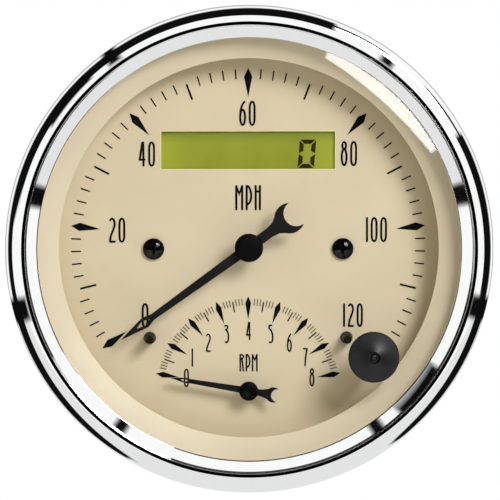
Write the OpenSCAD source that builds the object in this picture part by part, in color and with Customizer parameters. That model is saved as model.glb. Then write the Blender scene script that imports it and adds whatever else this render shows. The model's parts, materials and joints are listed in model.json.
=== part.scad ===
// Five-inch dashboard speedometer with a tachometer sub-dial, a trip display and a trip button.
// The gauge stands as it does in a dashboard: the dial faces -Y, twelve o'clock is +Z, and the
// origin is on the barrel's axis in the plane where the bezel seats on the panel.
// Every module is drawn in the dial's own frame, where +X is three o'clock, +Y is twelve o'clock
// and +Z points at the driver, with zero in the panel plane.

/* [Bezel] */
// Outside diameter of the chrome bezel
bezel_d = 136; // [134:0.5:144]
// Thickness of the bezel's sheet metal
bezel_wall = 1.0; // [0.8:0.1:1.2]
// Width of the bezel's face from its edge to the window
bezel_face_w = 9.2; // [8:0.1:11]
// Radius of the bead's outer shoulder
bead_outer_r = 3.0; // [2.4:0.1:3.4]
// Width of the flat land along the top of the bead
bead_land_w = 1.2; // [0.6:0.1:1.6]
// Radius of the bead's inner shoulder
bead_inner_r = 0.9; // [0.6:0.1:1.2]
// Height of the straight step between the bevel and the bead
bead_step = 1.2; // [0.6:0.1:2]
// Rise of the bevel from the window to the bead
bevel_rise = 0.6; // [0.3:0.1:1.2]
// Thickness of the bezel's lip
lip_t = 0.9; // [0.6:0.1:1.4]
// Width of the chamfer on the lip, round the window
lip_chamfer = 0.55; // [0.3:0.05:0.8]

/* [Case] */
// How far the bezel reaches past the barrel on each side
panel_overlap = 5; // [4.6:0.1:6]
// Depth of the barrel behind the panel
case_depth = 62; // [60:1:80]
// Thickness of the drawn steel
case_wall = 1.2; // [1.0:0.1:1.6]
// Outside radius of the drawn corner at the back
case_corner_r = 5; // [4:0.5:6]

/* [Lens, gasket and trim ring] */
// Thickness of the glass
lens_t = 3; // [2:0.25:4]
// Thickness of the rubber under the glass
gasket_t = 1.2; // [0.8:0.1:2]
// Width of the trim ring's cone
trim_cone_w = 8.1; // [6:0.1:10]
// Height of the trim ring's inner edge above the panel plane
trim_edge_z = 0.2; // [-1:0.1:1]
// Thickness of the trim ring's inner edge
trim_edge_t = 1.2; // [0.8:0.1:2]
// Wall of the trim ring's tube
trim_wall = 2.0; // [1.5:0.1:2.5]

/* [Dial] */
// Depth of the dial's face behind the panel plane
dial_drop = 9.5; // [8.5:0.25:11]
// Thickness of the dial
dial_t = 1.0; // [0.6:0.1:1.5]
// Thickness of the printed scales
print_t = 0.08; // [0.05:0.01:0.12]
// Sweep of the speed scale in degrees
speed_sweep = 250; // [230:1:256]
// Highest speed on the scale
speed_max = 120; // [80:20:160]
// Distance from the trim ring's inner edge to the speed scale's fine marks
scale_margin = 3.2; // [2:0.1:6]
// Length of the speed scale's diamonds
speed_diamond_l = 8.3; // [6:0.1:9]
// Width of the speed scale's diamonds
speed_diamond_w = 2.3; // [1.6:0.1:3]
// Length of the speed scale's fine marks
speed_tick_l = 2.8; // [2:0.1:4]
// Distance of the tachometer's centre below the dial's centre
tach_drop = 40.6; // [39:0.2:42]
// Sweep of the tachometer scale in degrees
tach_sweep = 160; // [140:1:170]
// Highest thousand on the tachometer scale
tach_max = 8; // [6:1:10]
// Outer radius of the tachometer scale's fine marks
tach_scale_r = 25.75; // [24:0.25:27]
// Length of the tachometer scale's diamonds
tach_diamond_l = 6.6; // [4:0.1:7]
// Width of the tachometer scale's diamonds
tach_diamond_w = 1.65; // [1.2:0.05:2]
// Length of the tachometer scale's fine marks
tach_tick_l = 1.9; // [1.2:0.1:2.4]
// How far the tips of the speed scale's diamonds reach out past its fine marks
speed_diamond_reach = 0.3; // [0:0.1:1]
// How far the tips of the tachometer scale's diamonds reach out past its fine marks
tach_diamond_reach = 0.7; // [0:0.1:1]

/* [Hands] */
// Distance from the speed hand's tip to the scale's outer circle
speed_hand_margin = 5.6; // [5.4:0.1:9]
// Distance from the tachometer hand's tip to its scale's outer circle
tach_hand_margin = 3.5; // [3.3:0.1:7]
// Widening of the tachometer hand's shaft over a true copy of the speed hand's
tach_hand_bold = 1.35; // [1:0.05:1.5]
// Thickness of the stamped hands
hand_t = 0.8; // [0.6:0.1:1]
// Height of the speed hand above the dial
speed_hand_lift = 6.2; // [5.8:0.1:6.6]
// Height of the tachometer hand above the dial
tach_hand_lift = 3.8; // [3.2:0.1:4.2]
// Angle of the resting speed hand below zero, in degrees
speed_rest = 0.8; // [0:0.1:1.5]
// Angle of the resting tachometer hand below zero, in degrees
tach_rest = 0.4; // [0:0.1:1.5]
// Radius of the speed hand's hub cap
speed_cap_r = 4.0; // [3.4:0.1:4.6]
// Radius of the tachometer hand's hub cap
tach_cap_r = 2.7; // [2.3:0.1:3.0]
// Radius of both spindles
spindle_r = 0.75; // [0.6:0.05:0.9]

/* [Stops and dial screws] */
// Distance of the stop pins from the speed hand's tip, along the hand
stop_back = 6.4; // [5.6:0.1:7.9]
// Radius of the stop pins at the dial
stop_pin_r = 1.75; // [1.3:0.05:1.8]
// Radius of the stop pins at their tips
stop_tip_r = 1.1; // [0.8:0.05:1.2]
// Height of the stop pins above the dial
stop_pin_h = 8; // [7.6:0.1:8.6]
// Angle from the end of the scale to a stop pin, in degrees
stop_margin = 8; // [7:0.1:9]
// Distance from each dial screw out to its mounting stud
dial_screw_in = 11.3; // [10:0.1:13]
// Distance of the dial screws below the dial's centre
dial_screw_drop = 0.7; // [0:0.1:1.5]
// Radius of the dial screws' heads
dial_screw_head_r = 3.0; // [2.5:0.1:3.4]
// Radius of the dial screws' shanks
dial_screw_r = 1.5; // [1.2:0.05:1.6]

/* [Display] */
// Width of the display window
window_w = 49; // [44:0.5:50]
// Height of the display window
window_h = 10.6; // [9:0.2:11.5]
// Height of the display's centre above the dial's centre
display_y = 27.1; // [26:0.1:28]
// Thickness of the liquid crystal panel
display_t = 2.2; // [1.6:0.1:2.6]

/* [Trip button] */
// Distance of the trip button inwards from the trim ring's inner edge
trip_inset = 7.55; // [7:0.05:8.7]
// Direction of the trip button from three o'clock, in degrees
trip_angle = -40.9; // [-46:0.1:-40]
// Radius of the button's rubber cap
trip_cap_r = 7.1; // [6.2:0.05:7.2]
// Radius of the dome on the cap
trip_dome_r = 15.5; // [13:0.5:20]
// Travel of the button
trip_travel = 1.5; // [1:0.1:1.6]
// Radius of the button's stem
trip_stem_r = 1.5; // [1.3:0.05:1.6]
// Radius of the bushing's barrel in the glass
bushing_r = 3.9; // [3.7:0.05:4.3]

/* [Circuit board and posts] */
// Length of the posts between the dial and the board
dial_post_l = 7.5; // [7.2:0.1:9]
// Gap between the circuit board's edge and the case
board_gap = 4.8; // [2:0.2:7]
// Thickness of the circuit board
board_t = 1.6; // [1.2:0.1:2]
// Radius of the posts that carry the board
board_post_r = 3.8; // [3.5:0.1:4.5]
// Distance of each mounting stud inwards from the case's wall
stud_inset = 23.8; // [20:0.2:26]
// Radius of the studs' threaded ends
stud_r = 2.4; // [2:0.1:2.5]
// Length of the studs' threaded ends
stud_l = 20; // [14:1:26]

/* [Terminals and lamps] */
// Number of blade terminals
blade_count = 6; // [4:1:6]
// Width of a blade
blade_w = 6.35; // [4.8:0.05:6.4]
// Thickness of a blade
blade_t = 0.8; // [0.5:0.1:1]
// Length of a blade behind its block
blade_l = 9; // [7:0.5:12]
// Radius of the lamp holders' barrels
lamp_barrel_r = 6.2; // [5.8:0.1:6.6]
// Distance of the lamps inwards from the case's wall
lamp_inset = 14.1; // [13:0.1:15]
// Direction of the lamps from three and from nine o'clock, in degrees
lamp_angle = 33; // [30:1:36]

/* [Hidden] */
$fn = 96;
hex = 6;
eps = 0.01;
cut = 1;

// Clearances
running_gap = 0.05;
seat_gap = 0.05;
press_gap = 0.02;
rest_gap = 0.3;
shell_gap = 0.5;

// Radii of the nested shells
bezel_r = bezel_d / 2;
window_r = bezel_r - bezel_face_w;
case_r = bezel_r - panel_overlap;
case_in_r = case_r - case_wall;
shoulder_r = bezel_r - bead_outer_r;
land_r = shoulder_r - bead_land_w;
crease_r = land_r - bead_inner_r;
lip_r = window_r + lip_chamfer;
pocket_r = bezel_r - bezel_wall;
flange_r = pocket_r - shell_gap;
lens_r = pocket_r - shell_gap;
hem_in_r = case_r + bezel_wall + shell_gap;
gasket_in_r = case_in_r + shell_gap;
trim_r = case_in_r - shell_gap;
trim_inner_r = trim_r - trim_cone_w;
dial_r = case_in_r - shell_gap;
board_r = case_in_r - board_gap;

// Levels from the panel plane, towards the driver
flange_z = bezel_wall;
gasket_z = flange_z + case_wall;
lens_z = gasket_z + gasket_t;
lens_front = lens_z + lens_t;
lip_front = lens_front + lip_t;
crease_z = lip_front + bevel_rise;
bezel_h = crease_z + bead_step + bead_inner_r;

// Levels from the panel plane, towards the back
dial_z = -dial_drop;
dial_back = dial_z - dial_t;
board_front = dial_back - dial_post_l;
board_back = board_front - board_t;
case_back = -case_depth;
floor_z = case_back + case_wall;
speed_hand_z = dial_z + speed_hand_lift;
tach_hand_z = dial_z + tach_hand_lift;

// Places on the dial and the board
speed_scale_r = trim_inner_r - scale_margin;
speed_hand_l = speed_scale_r - speed_hand_margin;
tach_hand_l = tach_scale_r - tach_hand_margin;
stop_r = speed_hand_l - stop_back;
stud_x = case_in_r - stud_inset;
dial_screw_x = stud_x - dial_screw_in;
top_post_inset = 14.8;
top_post_y = case_in_r - top_post_inset;
lamp_x = (case_in_r - lamp_inset) * cos(lamp_angle);
lamp_y = (case_in_r - lamp_inset) * sin(lamp_angle);
trip_r = trim_inner_r - trip_inset;
trip_pos = [trip_r * cos(trip_angle), trip_r * sin(trip_angle)];

// Scales
speed_zero = 90 + speed_sweep / 2;
tach_zero = 90 + tach_sweep / 2;
speed_step = 2;
speed_marks = speed_max / speed_step;
tach_marks = tach_max * 10;
marks_per_diamond = 10;
tach_bare_marks = 1;
speed_long_l = speed_tick_l * 1.66;
speed_fine_w = 0.38;
speed_long_w = 0.55;
tach_long_l = tach_tick_l * 1.55;
tach_fine_w = 0.22;
tach_long_w = 0.36;
long_inset = 0.022;
diamond_shoulder = 0.3;

// Hands: the speed hand's outline, with its head measured back from the tip.
// The tachometer hand is a smaller copy of it with a bolder shaft.
head_l = 8.5;
head_w = 3.15;
neck_back = 11.1;
neck_w = 1.75;
root_w = 2.9;
head_window_tip = 5.5;
head_window_back = 8.0;
head_window_base = 10.1;
head_window_w = 1.6;
crescent_at = 14.1;
crescent_r = 4.3;
bite_at = 16.45;
bite_r = 3.6;
tail_w = 2.85;
// Each side of the tail flares from the shaft over a knee to the crescent: distance back, half width
flare_root = 7.2;
flare_knee = [9.3, 1.8];
flare_end = [11.1, 2.95];
// Share of a flare's first side by which it starts inside the tail
flare_run_in = 0.2;
boss_wall = 0.8;
hub_inset = 0.8;
speed_boss_h = 1.6;
tach_boss_h = 1.0;
speed_cap_h = 2.5;
tach_cap_h = 1.7;
speed_cap_round = 1.2;
tach_cap_round = 0.8;
tach_dish_r = 1.3;
tach_dish_depth = 0.35;
dial_hole_gap = 0.6;

// Movements: bobbin radius, bobbin height, winding thickness, winding width, rotor radius, rotor height
speed_move = [9.4, 14, 1.5, 6, 6.3, 4];
tach_move = [7.4, 11, 1.2, 5, 4.8, 3];
leg_inset = 2.4;
bearing_r = 2.2;
bearing_flange_r = 3.0;
bearing_flange_t = 0.8;
winding_gap = 0.2;
rotor_gap = 0.7;
leg_r = 1.1;
shield_wall = 0.8;
rear_bearing_r = 1.7;
bearing_floor_t = 0.8;
spindle_bite = 0.8;

// Trip button stack
bushing_flange_r = 5.2;
bushing_flange_t = 1.0;
bushing_nut_af = 10;
bushing_nut_t = 1.6;
well_wall = 1.0;
well_floor_t = 0.8;
well_r = bushing_r - well_wall;
well_floor = lens_z + well_floor_t;
bushing_front = lens_front + bushing_flange_t;
cap_skirt_z = bushing_front + trip_travel + rest_gap;
cap_skirt_h = 1.3;
cap_roof_t = 0.7;
cap_wall = 1.0;
dome_edge_drop = trip_dome_r - sqrt(trip_dome_r * trip_dome_r - trip_cap_r * trip_cap_r);
cap_top = cap_skirt_z + cap_skirt_h + dome_edge_drop;
cap_roof = cap_skirt_z + cap_skirt_h - cap_roof_t;
dimple_r = 1.6;
dimple_depth = 0.7;
nib_r = 0.8;
stem_top = cap_roof;
switch_h = 3.4;
switch_w = 6;
plunger_r = 1.6;
plunger_lift = 2.2;
switch_top = board_front + switch_h;
stem_end = switch_top + plunger_lift + seat_gap;
clip_t = 0.7;
clip_r = 3.0;
clip_groove = 0.4;
clip_z = lens_z - bushing_nut_t - rest_gap;
spring_wire_r = 0.2;
spring_turns = 4;
spring_mean_r = (well_r + trip_stem_r) / 2;
spring_sides = 6;
spring_rings = 8;

// Display stack
display_edge = 2.5;
display_wall = 1.5;
display_front = dial_back;
display_back = display_front - display_t;
diffuser_gap = 0.2;

// Screws, posts and studs
screw_head_h = 2.0;
screw_dome_r = 4.8;
screw_slot_l = 3.3;
screw_slot_w = 0.7;
screw_slot_depth = 1.2;
screw_bite = 5;
dial_post_r = 3.2;
board_screw_r = 1.5;
board_screw_head_r = 2.8;
stud_shoulder_r = 3.0;
stud_bite = 8;
nut_af = 10;
nut_t = 4;
nut_clear = 0.3;
blade_pitch = 7.5;
block_y = -22;
block_h = 10;
block_margin = 2.6;
block_proud = 4;
block_flange = 2;
lamp_depth = 12;
lamp_flange_r = 8.4;
lamp_flange_t = 1.6;
lamp_grip_h = 4.5;
lamp_grip_w = 3;
bulb_r = 2.6;
bulb_l = 8;
light_hole_r = 8.5;

// Parts on the board's front: place, then width, height and thickness
processor = [-17, 9, 10, 10, 1.6];
drivers = [[17, 8, 5, 6.2, 1.6], [-17, -12, 5, 6.2, 1.6]];
crystal = [-29, 10, 4, 10, 3.2];
capacitor_pos = [18, -13];
capacitor_r = 3.2;
capacitor_h = 6;

// Least gap between the spring's turns, measured on the points of its centreline
spring_ring_count = spring_turns * spring_rings;
spring_gap = min([for (i = [0 : spring_ring_count - spring_rings])
    min([for (j = [i + spring_rings / 2 : spring_ring_count]) norm(spring_point(i) - spring_point(j))])
]) - 2 * spring_wire_r;
echo(spring_gap = spring_gap);

// Places

// Turns the dial's frame into the gauge's frame, dial facing -Y
module facing() {
    rotate([90, 0, 0]) children();
}

module at_tach() {
    translate([0, -tach_drop, 0]) children();
}

module at_trip() {
    translate([trip_pos[0], trip_pos[1], 0]) children();
}

module on_both_sides(x, y = 0) {
    for (side = [-1, 1]) translate([side * x, y, 0]) children();
}

module at_dial_screws() {
    on_both_sides(dial_screw_x, -dial_screw_drop) children();
}

module at_board_posts() {
    on_both_sides(stud_x) children();
    translate([0, top_post_y, 0]) children();
}

// Shapes that repeat

module tube(outer_r, inner_r, z0, z1) {
    translate([0, 0, z0]) difference() {
        cylinder(r = outer_r, h = z1 - z0);
        translate([0, 0, -cut]) cylinder(r = inner_r, h = z1 - z0 + 2 * cut);
    }
}

module rod(r, z0, z1) {
    translate([0, 0, z0]) cylinder(r = r, h = z1 - z0);
}

module block(w, h, z0, z1) {
    translate([-w / 2, -h / 2, z0]) cube([w, h, z1 - z0]);
}

module hex_prism(af, z0, z1) {
    translate([0, 0, z0]) cylinder(d = af / cos(180 / hex), h = z1 - z0, $fn = hex);
}

// Domed screw with a cross recess, seated at z with its shank towards the back
module cross_screw(head_r, shank_r, shank_l, z) {
    translate([0, 0, z]) difference() {
        union() {
            rod(shank_r, -shank_l, eps);
            intersection() {
                rod(head_r, 0, screw_head_h);
                translate([0, 0, screw_head_h - screw_dome_r]) sphere(r = screw_dome_r);
            }
        }
        for (turn = [0, 90]) rotate(turn)
            block(screw_slot_l, screw_slot_w, screw_head_h - screw_slot_depth, screw_head_h + cut);
    }
}

// Bezel, case and glass

// Quarter of a round, its corner at the middle of the circle, towards +X +Y or -X +Y
module quarter(r, side = 1) {
    intersection() {
        circle(r = r);
        translate([side > 0 ? 0 : -r, 0]) square(r);
    }
}

// Rolled sheet: a bead with a flat land, a step, a bevel to a chamfered lip, and a hem behind the flange
module bezel_profile() {
    outer_z = bezel_h - bead_outer_r;
    inner_z = bezel_h - bead_inner_r;
    difference() {
        union() {
            translate([shoulder_r, 0]) square([bead_outer_r, outer_z]);
            translate([shoulder_r, outer_z]) quarter(bead_outer_r);
            translate([land_r, 0]) square([bead_land_w, bezel_h]);
            translate([crease_r, 0]) square([bead_inner_r, inner_z]);
            translate([land_r, inner_z]) quarter(bead_inner_r, -1);
            polygon([[window_r, lens_front], [land_r, lens_front], [land_r, crease_z],
                     [crease_r, crease_z], [lip_r, lip_front]]);
        }
        translate([0, bezel_wall]) square([pocket_r, lens_front - bezel_wall]);
        translate([0, -cut]) square([hem_in_r, bezel_wall + 2 * cut]);
        translate([shoulder_r, lens_front - cut])
            square([bead_outer_r - bezel_wall, outer_z - lens_front + cut]);
        translate([shoulder_r, outer_z]) quarter(bead_outer_r - bezel_wall);
    }
}

module bezel_ring() {
    color("silver") rotate_extrude($fn = 180) bezel_profile();
}

// Drawn cup with a round corner at the back and a turned-out flange at the front
module case_profile() {
    difference() {
        union() {
            translate([0, case_back + case_corner_r]) square([case_r, case_depth - case_corner_r + flange_z]);
            translate([0, case_back]) square([case_r - case_corner_r, case_corner_r]);
            translate([case_r - case_corner_r, case_back + case_corner_r])
                mirror([0, 1]) quarter(case_corner_r);
            translate([0, flange_z]) square([flange_r, case_wall]);
            difference() {
                translate([case_r - eps, 0]) square([bezel_wall + eps, flange_z]);
                translate([case_r + bezel_wall, 0]) circle(r = bezel_wall);
            }
        }
        translate([0, floor_z + case_corner_r - case_wall])
            square([case_in_r, case_depth + 2 * flange_z]);
        translate([0, floor_z]) square([case_r - case_corner_r, case_corner_r]);
        translate([case_r - case_corner_r, case_back + case_corner_r])
            mirror([0, 1]) quarter(case_corner_r - case_wall);
    }
}

module case_shell() {
    color("dimgray") difference() {
        rotate_extrude($fn = 180) case_profile();
        on_both_sides(stud_x) rod(stud_shoulder_r + seat_gap, case_back - cut, floor_z + cut);
        translate([0, top_post_y, 0]) rod(board_screw_r + seat_gap, case_back - cut, floor_z + cut);
        on_both_sides(lamp_x, lamp_y) rod(lamp_barrel_r + seat_gap, case_back - cut, floor_z + cut);
        translate([0, block_y, 0])
            block(block_w() + 2 * seat_gap, block_h + 2 * seat_gap, case_back - cut, floor_z + cut);
    }
}

module lens_gasket() {
    color("black") tube(lens_r - shell_gap, gasket_in_r, gasket_z, lens_z);
}

module lens() {
    color("lightcyan", 0.3) difference() {
        rod(lens_r, lens_z, lens_front);
        at_trip() rod(bushing_r + seat_gap, lens_z - cut, lens_front + cut);
    }
}

// Cone that frames the dial, carried on a tube that stands on the dial's edge
module trim_ring() {
    color("wheat") rotate_extrude($fn = 180) union() {
        translate([trim_r - trim_wall, dial_z]) square([trim_wall, lens_z - dial_z]);
        polygon([[trim_r - eps, lens_z], [trim_inner_r, trim_edge_z],
                 [trim_inner_r, trim_edge_z - trim_edge_t],
                 [trim_r - trim_wall, lens_z - trim_edge_t - trim_wall], [trim_r - eps, lens_z - trim_wall]]);
    }
}

// Dial and its scales

module dial_plate() {
    color("wheat") difference() {
        rod(dial_r, dial_back, dial_z);
        rod(spindle_r + dial_hole_gap, dial_back - cut, dial_z + cut);
        at_tach() rod(spindle_r + dial_hole_gap, dial_back - cut, dial_z + cut);
        translate([0, display_y, 0]) block(window_w, window_h, dial_back - cut, dial_z + cut);
        at_dial_screws() rod(dial_screw_r + seat_gap, dial_back - cut, dial_z + cut);
        at_stops() rod(stop_pin_r * 0.6 + seat_gap, dial_back - cut, dial_z + cut);
        at_trip() rod(trip_stem_r + rest_gap, dial_back - cut, dial_z + cut);
    }
}

// Long diamond that points at the centre, its outer tip at the radius outer
module diamond(outer, length, width) {
    polygon([[outer, 0], [outer - length * diamond_shoulder, width / 2],
             [outer - length, 0], [outer - length * diamond_shoulder, -width / 2]]);
}

module tick(outer, length, width) {
    translate([outer - length, -width / 2]) square([length, width]);
}

// Number of marks from mark i to the nearest diamond
function marks_off(i) = min(i % marks_per_diamond, marks_per_diamond - i % marks_per_diamond);

// Fine marks, a longer mark halfway and a diamond at every figure; bare is the number of fine marks
// that are left out on each side of a diamond
module scale_print(zero, sweep, marks, outer, diamond_size, fine_size, long_size, bare = 0) {
    half = marks_per_diamond / 2;
    translate([0, 0, dial_z]) linear_extrude(print_t)
        for (i = [0 : marks]) rotate(zero - i * sweep / marks)
            if (marks_off(i) == 0) diamond(outer + diamond_size[2], diamond_size[0], diamond_size[1]);
            else if (marks_off(i) == half) tick(outer * (1 - long_inset), long_size[0], long_size[1]);
            else if (marks_off(i) > bare) tick(outer, fine_size[0], fine_size[1]);
}

module speed_scale() {
    color("black") scale_print(speed_zero, speed_sweep, speed_marks, speed_scale_r,
        [speed_diamond_l, speed_diamond_w, speed_diamond_reach],
        [speed_tick_l, speed_fine_w], [speed_long_l, speed_long_w]);
}

module tach_scale() {
    color("black") at_tach() scale_print(tach_zero, tach_sweep, tach_marks, tach_scale_r,
        [tach_diamond_l, tach_diamond_w, tach_diamond_reach],
        [tach_tick_l, tach_fine_w], [tach_long_l, tach_long_w], tach_bare_marks);
}

module at_stops() {
    for (angle = [speed_zero + stop_margin, speed_zero - speed_sweep - stop_margin])
        rotate(angle) translate([stop_r, 0, 0]) children();
}

// Tapered pegs with a chamfered tip, riveted through the dial
module stop_pins() {
    chamfer = stop_tip_r * 0.25;
    color("black") at_stops() union() {
        rod(stop_pin_r * 0.6, dial_back, dial_z + eps);
        translate([0, 0, dial_z]) cylinder(r1 = stop_pin_r, r2 = stop_tip_r, h = stop_pin_h - chamfer);
        translate([0, 0, dial_z + stop_pin_h - chamfer])
            cylinder(r1 = stop_tip_r, r2 = stop_tip_r - chamfer, h = chamfer);
    }
}

module dial_screws() {
    color("black") at_dial_screws()
        cross_screw(dial_screw_head_r, dial_screw_r, dial_t + screw_bite, dial_z);
}

module dial_posts() {
    color("silver") at_dial_screws() difference() {
        union() {
            hex_prism(2 * dial_post_r * cos(180 / hex), board_front, dial_back);
            rod(dial_post_r / 2, board_back, board_front + eps);
        }
        rod(dial_screw_r + seat_gap, dial_back - screw_bite - seat_gap, dial_back + cut);
    }
}

// Trip display

module display_panel() {
    color("yellowgreen") translate([0, display_y, 0])
        block(window_w + 2 * display_edge, window_h + 2 * display_edge, display_back, display_front);
}

// Tray that carries the panel at its rim, open over the diffuser
module display_frame() {
    inner_w = window_w + 2 * display_edge + 2 * seat_gap;
    inner_h = window_h + 2 * display_edge + 2 * seat_gap;
    color("white") translate([0, display_y, 0]) difference() {
        block(inner_w + 2 * display_wall, inner_h + 2 * display_wall, board_front, display_front);
        block(inner_w, inner_h, display_back, display_front + cut);
        block(window_w, window_h, board_front - cut, display_back + eps);
    }
}

module display_diffuser() {
    w = window_w - 2 * diffuser_gap;
    h = window_h - 2 * diffuser_gap;
    color("lemonchiffon") translate([0, display_y, 0]) block(w, h, board_front, display_back - diffuser_gap);
}

// Circuit board and what carries it

module circuit_board() {
    color("darkgreen") difference() {
        rod(board_r, board_back, board_front);
        rod(bearing_r + seat_gap, board_back - cut, board_front + cut);
        at_tach() rod(bearing_r + seat_gap, board_back - cut, board_front + cut);
        on_both_sides(lamp_x, lamp_y) rod(light_hole_r, board_back - cut, board_front + cut);
        at_dial_screws() rod(dial_post_r / 2 + seat_gap, board_back - cut, board_front + cut);
        at_board_posts() rod(board_screw_r + seat_gap, board_back - cut, board_front + cut);
        at_blades() block(blade_t + 2 * seat_gap, blade_w / 2, board_back - cut, board_front + cut);
    }
}

module chip(size) {
    translate([size[0], size[1], 0]) block(size[2], size[3], board_front, board_front + size[4]);
}

// Processor, motor drivers, crystal and supply capacitor on the board's front
module board_chips() {
    color("black") {
        chip(processor);
        for (driver = drivers) chip(driver);
        chip(crystal);
        translate(capacitor_pos) rod(capacitor_r, board_front, board_front + capacitor_h);
    }
}

module board_posts() {
    color("silver") {
        on_both_sides(stud_x) difference() {
            rod(board_post_r, floor_z, board_back);
            rod(stud_shoulder_r + seat_gap, floor_z - cut, floor_z + stud_bite);
            rod(board_screw_r + seat_gap, board_back - screw_bite - seat_gap, board_back + cut);
        }
        translate([0, top_post_y, 0]) difference() {
            rod(board_post_r, floor_z, board_back);
            rod(board_screw_r + seat_gap, floor_z - cut, floor_z + stud_bite);
            rod(board_screw_r + seat_gap, board_back - screw_bite - seat_gap, board_back + cut);
        }
    }
}

module board_screws() {
    color("silver") at_board_posts()
        cross_screw(board_screw_head_r, board_screw_r, board_t + screw_bite, board_front);
}

// Air-core movements: two crossed windings on a split bobbin, with a magnet that follows their field

function bobbin_r(m) = m[0];
function bobbin_h(m) = m[1];
function wire_t(m) = m[2];
function wire_w(m) = m[3];
function rotor_r(m) = m[4];
function rotor_h(m) = m[5];
function winding_inner_h(m) = bobbin_h(m) + 2 * winding_gap;
function winding_outer_h(m) = winding_inner_h(m) + 2 * wire_t(m) + 2 * winding_gap;
function winding_in_w(m) = 2 * bobbin_r(m) + 2 * winding_gap;
function movement_h(m) = winding_outer_h(m) + 2 * wire_t(m);
function movement_z(m) = board_back - winding_gap - movement_h(m) / 2;
function rotor_room(m) = rotor_h(m) / 2 + rotor_gap;
function shield_in_r(m) = norm([winding_in_w(m) / 2 + wire_t(m), wire_w(m) / 2]) + shell_gap;

// Legs of the front half stand on the board between the windings
module bobbin_front(m) {
    mid = movement_z(m);
    color("ivory") difference() {
        union() {
            rod(bobbin_r(m), mid, mid + bobbin_h(m) / 2);
            for (turn = [45 : 90 : 315]) rotate(turn) translate([bobbin_r(m) - leg_inset, 0, 0])
                rod(leg_r, mid + rotor_room(m), board_back);
        }
        rod(rotor_r(m) + rotor_gap, mid - cut, mid + rotor_room(m));
        rod(bearing_r + seat_gap, mid - cut, mid + bobbin_h(m) / 2 + cut);
    }
}

module bobbin_rear(m) {
    mid = movement_z(m);
    color("ivory") difference() {
        rod(bobbin_r(m), mid - bobbin_h(m) / 2, mid);
        rod(rotor_r(m) + rotor_gap, mid - rotor_room(m), mid + cut);
        rod(rear_bearing_r + seat_gap, mid - bobbin_h(m) / 2 - cut, mid + cut);
    }
}

// Rectangular loop of wire, parted at the spindle
module winding(m, inner_h) {
    inner_w = winding_in_w(m);
    translate([0, 0, movement_z(m)]) difference() {
        block(inner_w + 2 * wire_t(m), wire_w(m), -inner_h / 2 - wire_t(m), inner_h / 2 + wire_t(m));
        block(inner_w, wire_w(m) + 2 * cut, -inner_h / 2, inner_h / 2);
        rod(bearing_r + seat_gap, -inner_h, inner_h);
    }
}

module winding_inner(m) {
    color("peru") winding(m, winding_inner_h(m));
}

module winding_outer(m) {
    color("peru") rotate(90) winding(m, winding_outer_h(m));
}

module shield(m) {
    back = board_back - movement_h(m) - 2 * winding_gap;
    r = shield_in_r(m);
    color("silver") difference() {
        rod(r + shield_wall, back - shield_wall, board_back);
        rod(r, back, board_back + cut);
    }
}

// Flanged bush that stands proud of the board and guides the spindle
module front_bearing(m) {
    top = board_front + bearing_flange_t;
    color("goldenrod") difference() {
        union() {
            rod(bearing_r, movement_z(m) + rotor_room(m), top);
            rod(bearing_flange_r, board_front, top);
        }
        rod(spindle_r + running_gap, movement_z(m), top + cut);
    }
}

// Cup that takes the spindle's end
module rear_bearing(m) {
    back = movement_z(m) - bobbin_h(m) / 2;
    color("goldenrod") difference() {
        rod(rear_bearing_r, back, movement_z(m) - rotor_room(m));
        rod(spindle_r + running_gap, back + bearing_floor_t, movement_z(m));
    }
}

module rotor(m) {
    mid = movement_z(m);
    color("dimgray") tube(rotor_r(m), spindle_r + press_gap, mid - rotor_h(m) / 2, mid + rotor_h(m) / 2);
}

module spindle(m, hand_z) {
    back = movement_z(m) - bobbin_h(m) / 2 + bearing_floor_t + seat_gap;
    color("silver") rod(spindle_r, back, hand_z + hand_t + spindle_bite);
}

// Hands

// Spear with an open head and a crescent on its tail, pointing along +X, k times the speed hand's size
// and with its shaft bold times wider than that
module hand_outline(k, bold) {
    tip = speed_hand_l;
    root = bold * root_w / 2;
    neck = bold * neck_w / 2;
    tail = bold * tail_w / 2;
    knee = bold * flare_knee[1];
    flare_x = flare_root - flare_run_in * (flare_knee[0] - flare_root);
    flare_y = tail - flare_run_in * (knee - tail);
    difference() {
        union() {
            polygon(k * [[0, root], [tip - neck_back, neck], [tip - head_l, head_w / 2], [tip, 0],
                         [tip - head_l, -head_w / 2], [tip - neck_back, -neck], [0, -root]]);
            translate(k * [-crescent_at, -tail]) square(k * [crescent_at, 2 * tail]);
            translate(k * [-crescent_at, 0]) circle(r = k * crescent_r);
            polygon(k * [[-flare_x, flare_y], [-flare_knee[0], knee], [-flare_end[0], flare_end[1]],
                         [-flare_end[0], -flare_end[1]], [-flare_knee[0], -knee], [-flare_x, -flare_y]]);
        }
        translate(k * [-bite_at, 0]) circle(r = k * bite_r);
        polygon(k * [[tip - head_window_tip, 0], [tip - head_window_back, head_window_w / 2],
                     [tip - head_window_base, 0], [tip - head_window_back, -head_window_w / 2]]);
    }
}

// The stamped hand has a round hub under its cap, fixed on a boss that grips the spindle
module hand(length, cap_r, boss_h, z, rest, bold = 1) {
    color("black") difference() {
        union() {
            rotate(rest) translate([0, 0, z]) linear_extrude(hand_t) union() {
                hand_outline(length / speed_hand_l, bold);
                circle(r = cap_r - hub_inset);
            }
            rod(spindle_r + boss_wall, z - boss_h, z + eps);
        }
        rod(spindle_r + press_gap, z - boss_h - cut, z + hand_t + cut);
    }
}

// Cap with a rounded rim, bored for the spindle's end
module hub_cap(cap_r, cap_h, round_r, z) {
    top = z + cap_h;
    color("black") difference() {
        rotate_extrude() union() {
            translate([0, z]) square([cap_r, cap_h - round_r]);
            translate([0, z]) square([cap_r - round_r, cap_h]);
            translate([cap_r - round_r, top - round_r]) quarter(round_r);
        }
        rod(spindle_r + press_gap, z - cut, z + spindle_bite + seat_gap);
    }
}

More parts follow.
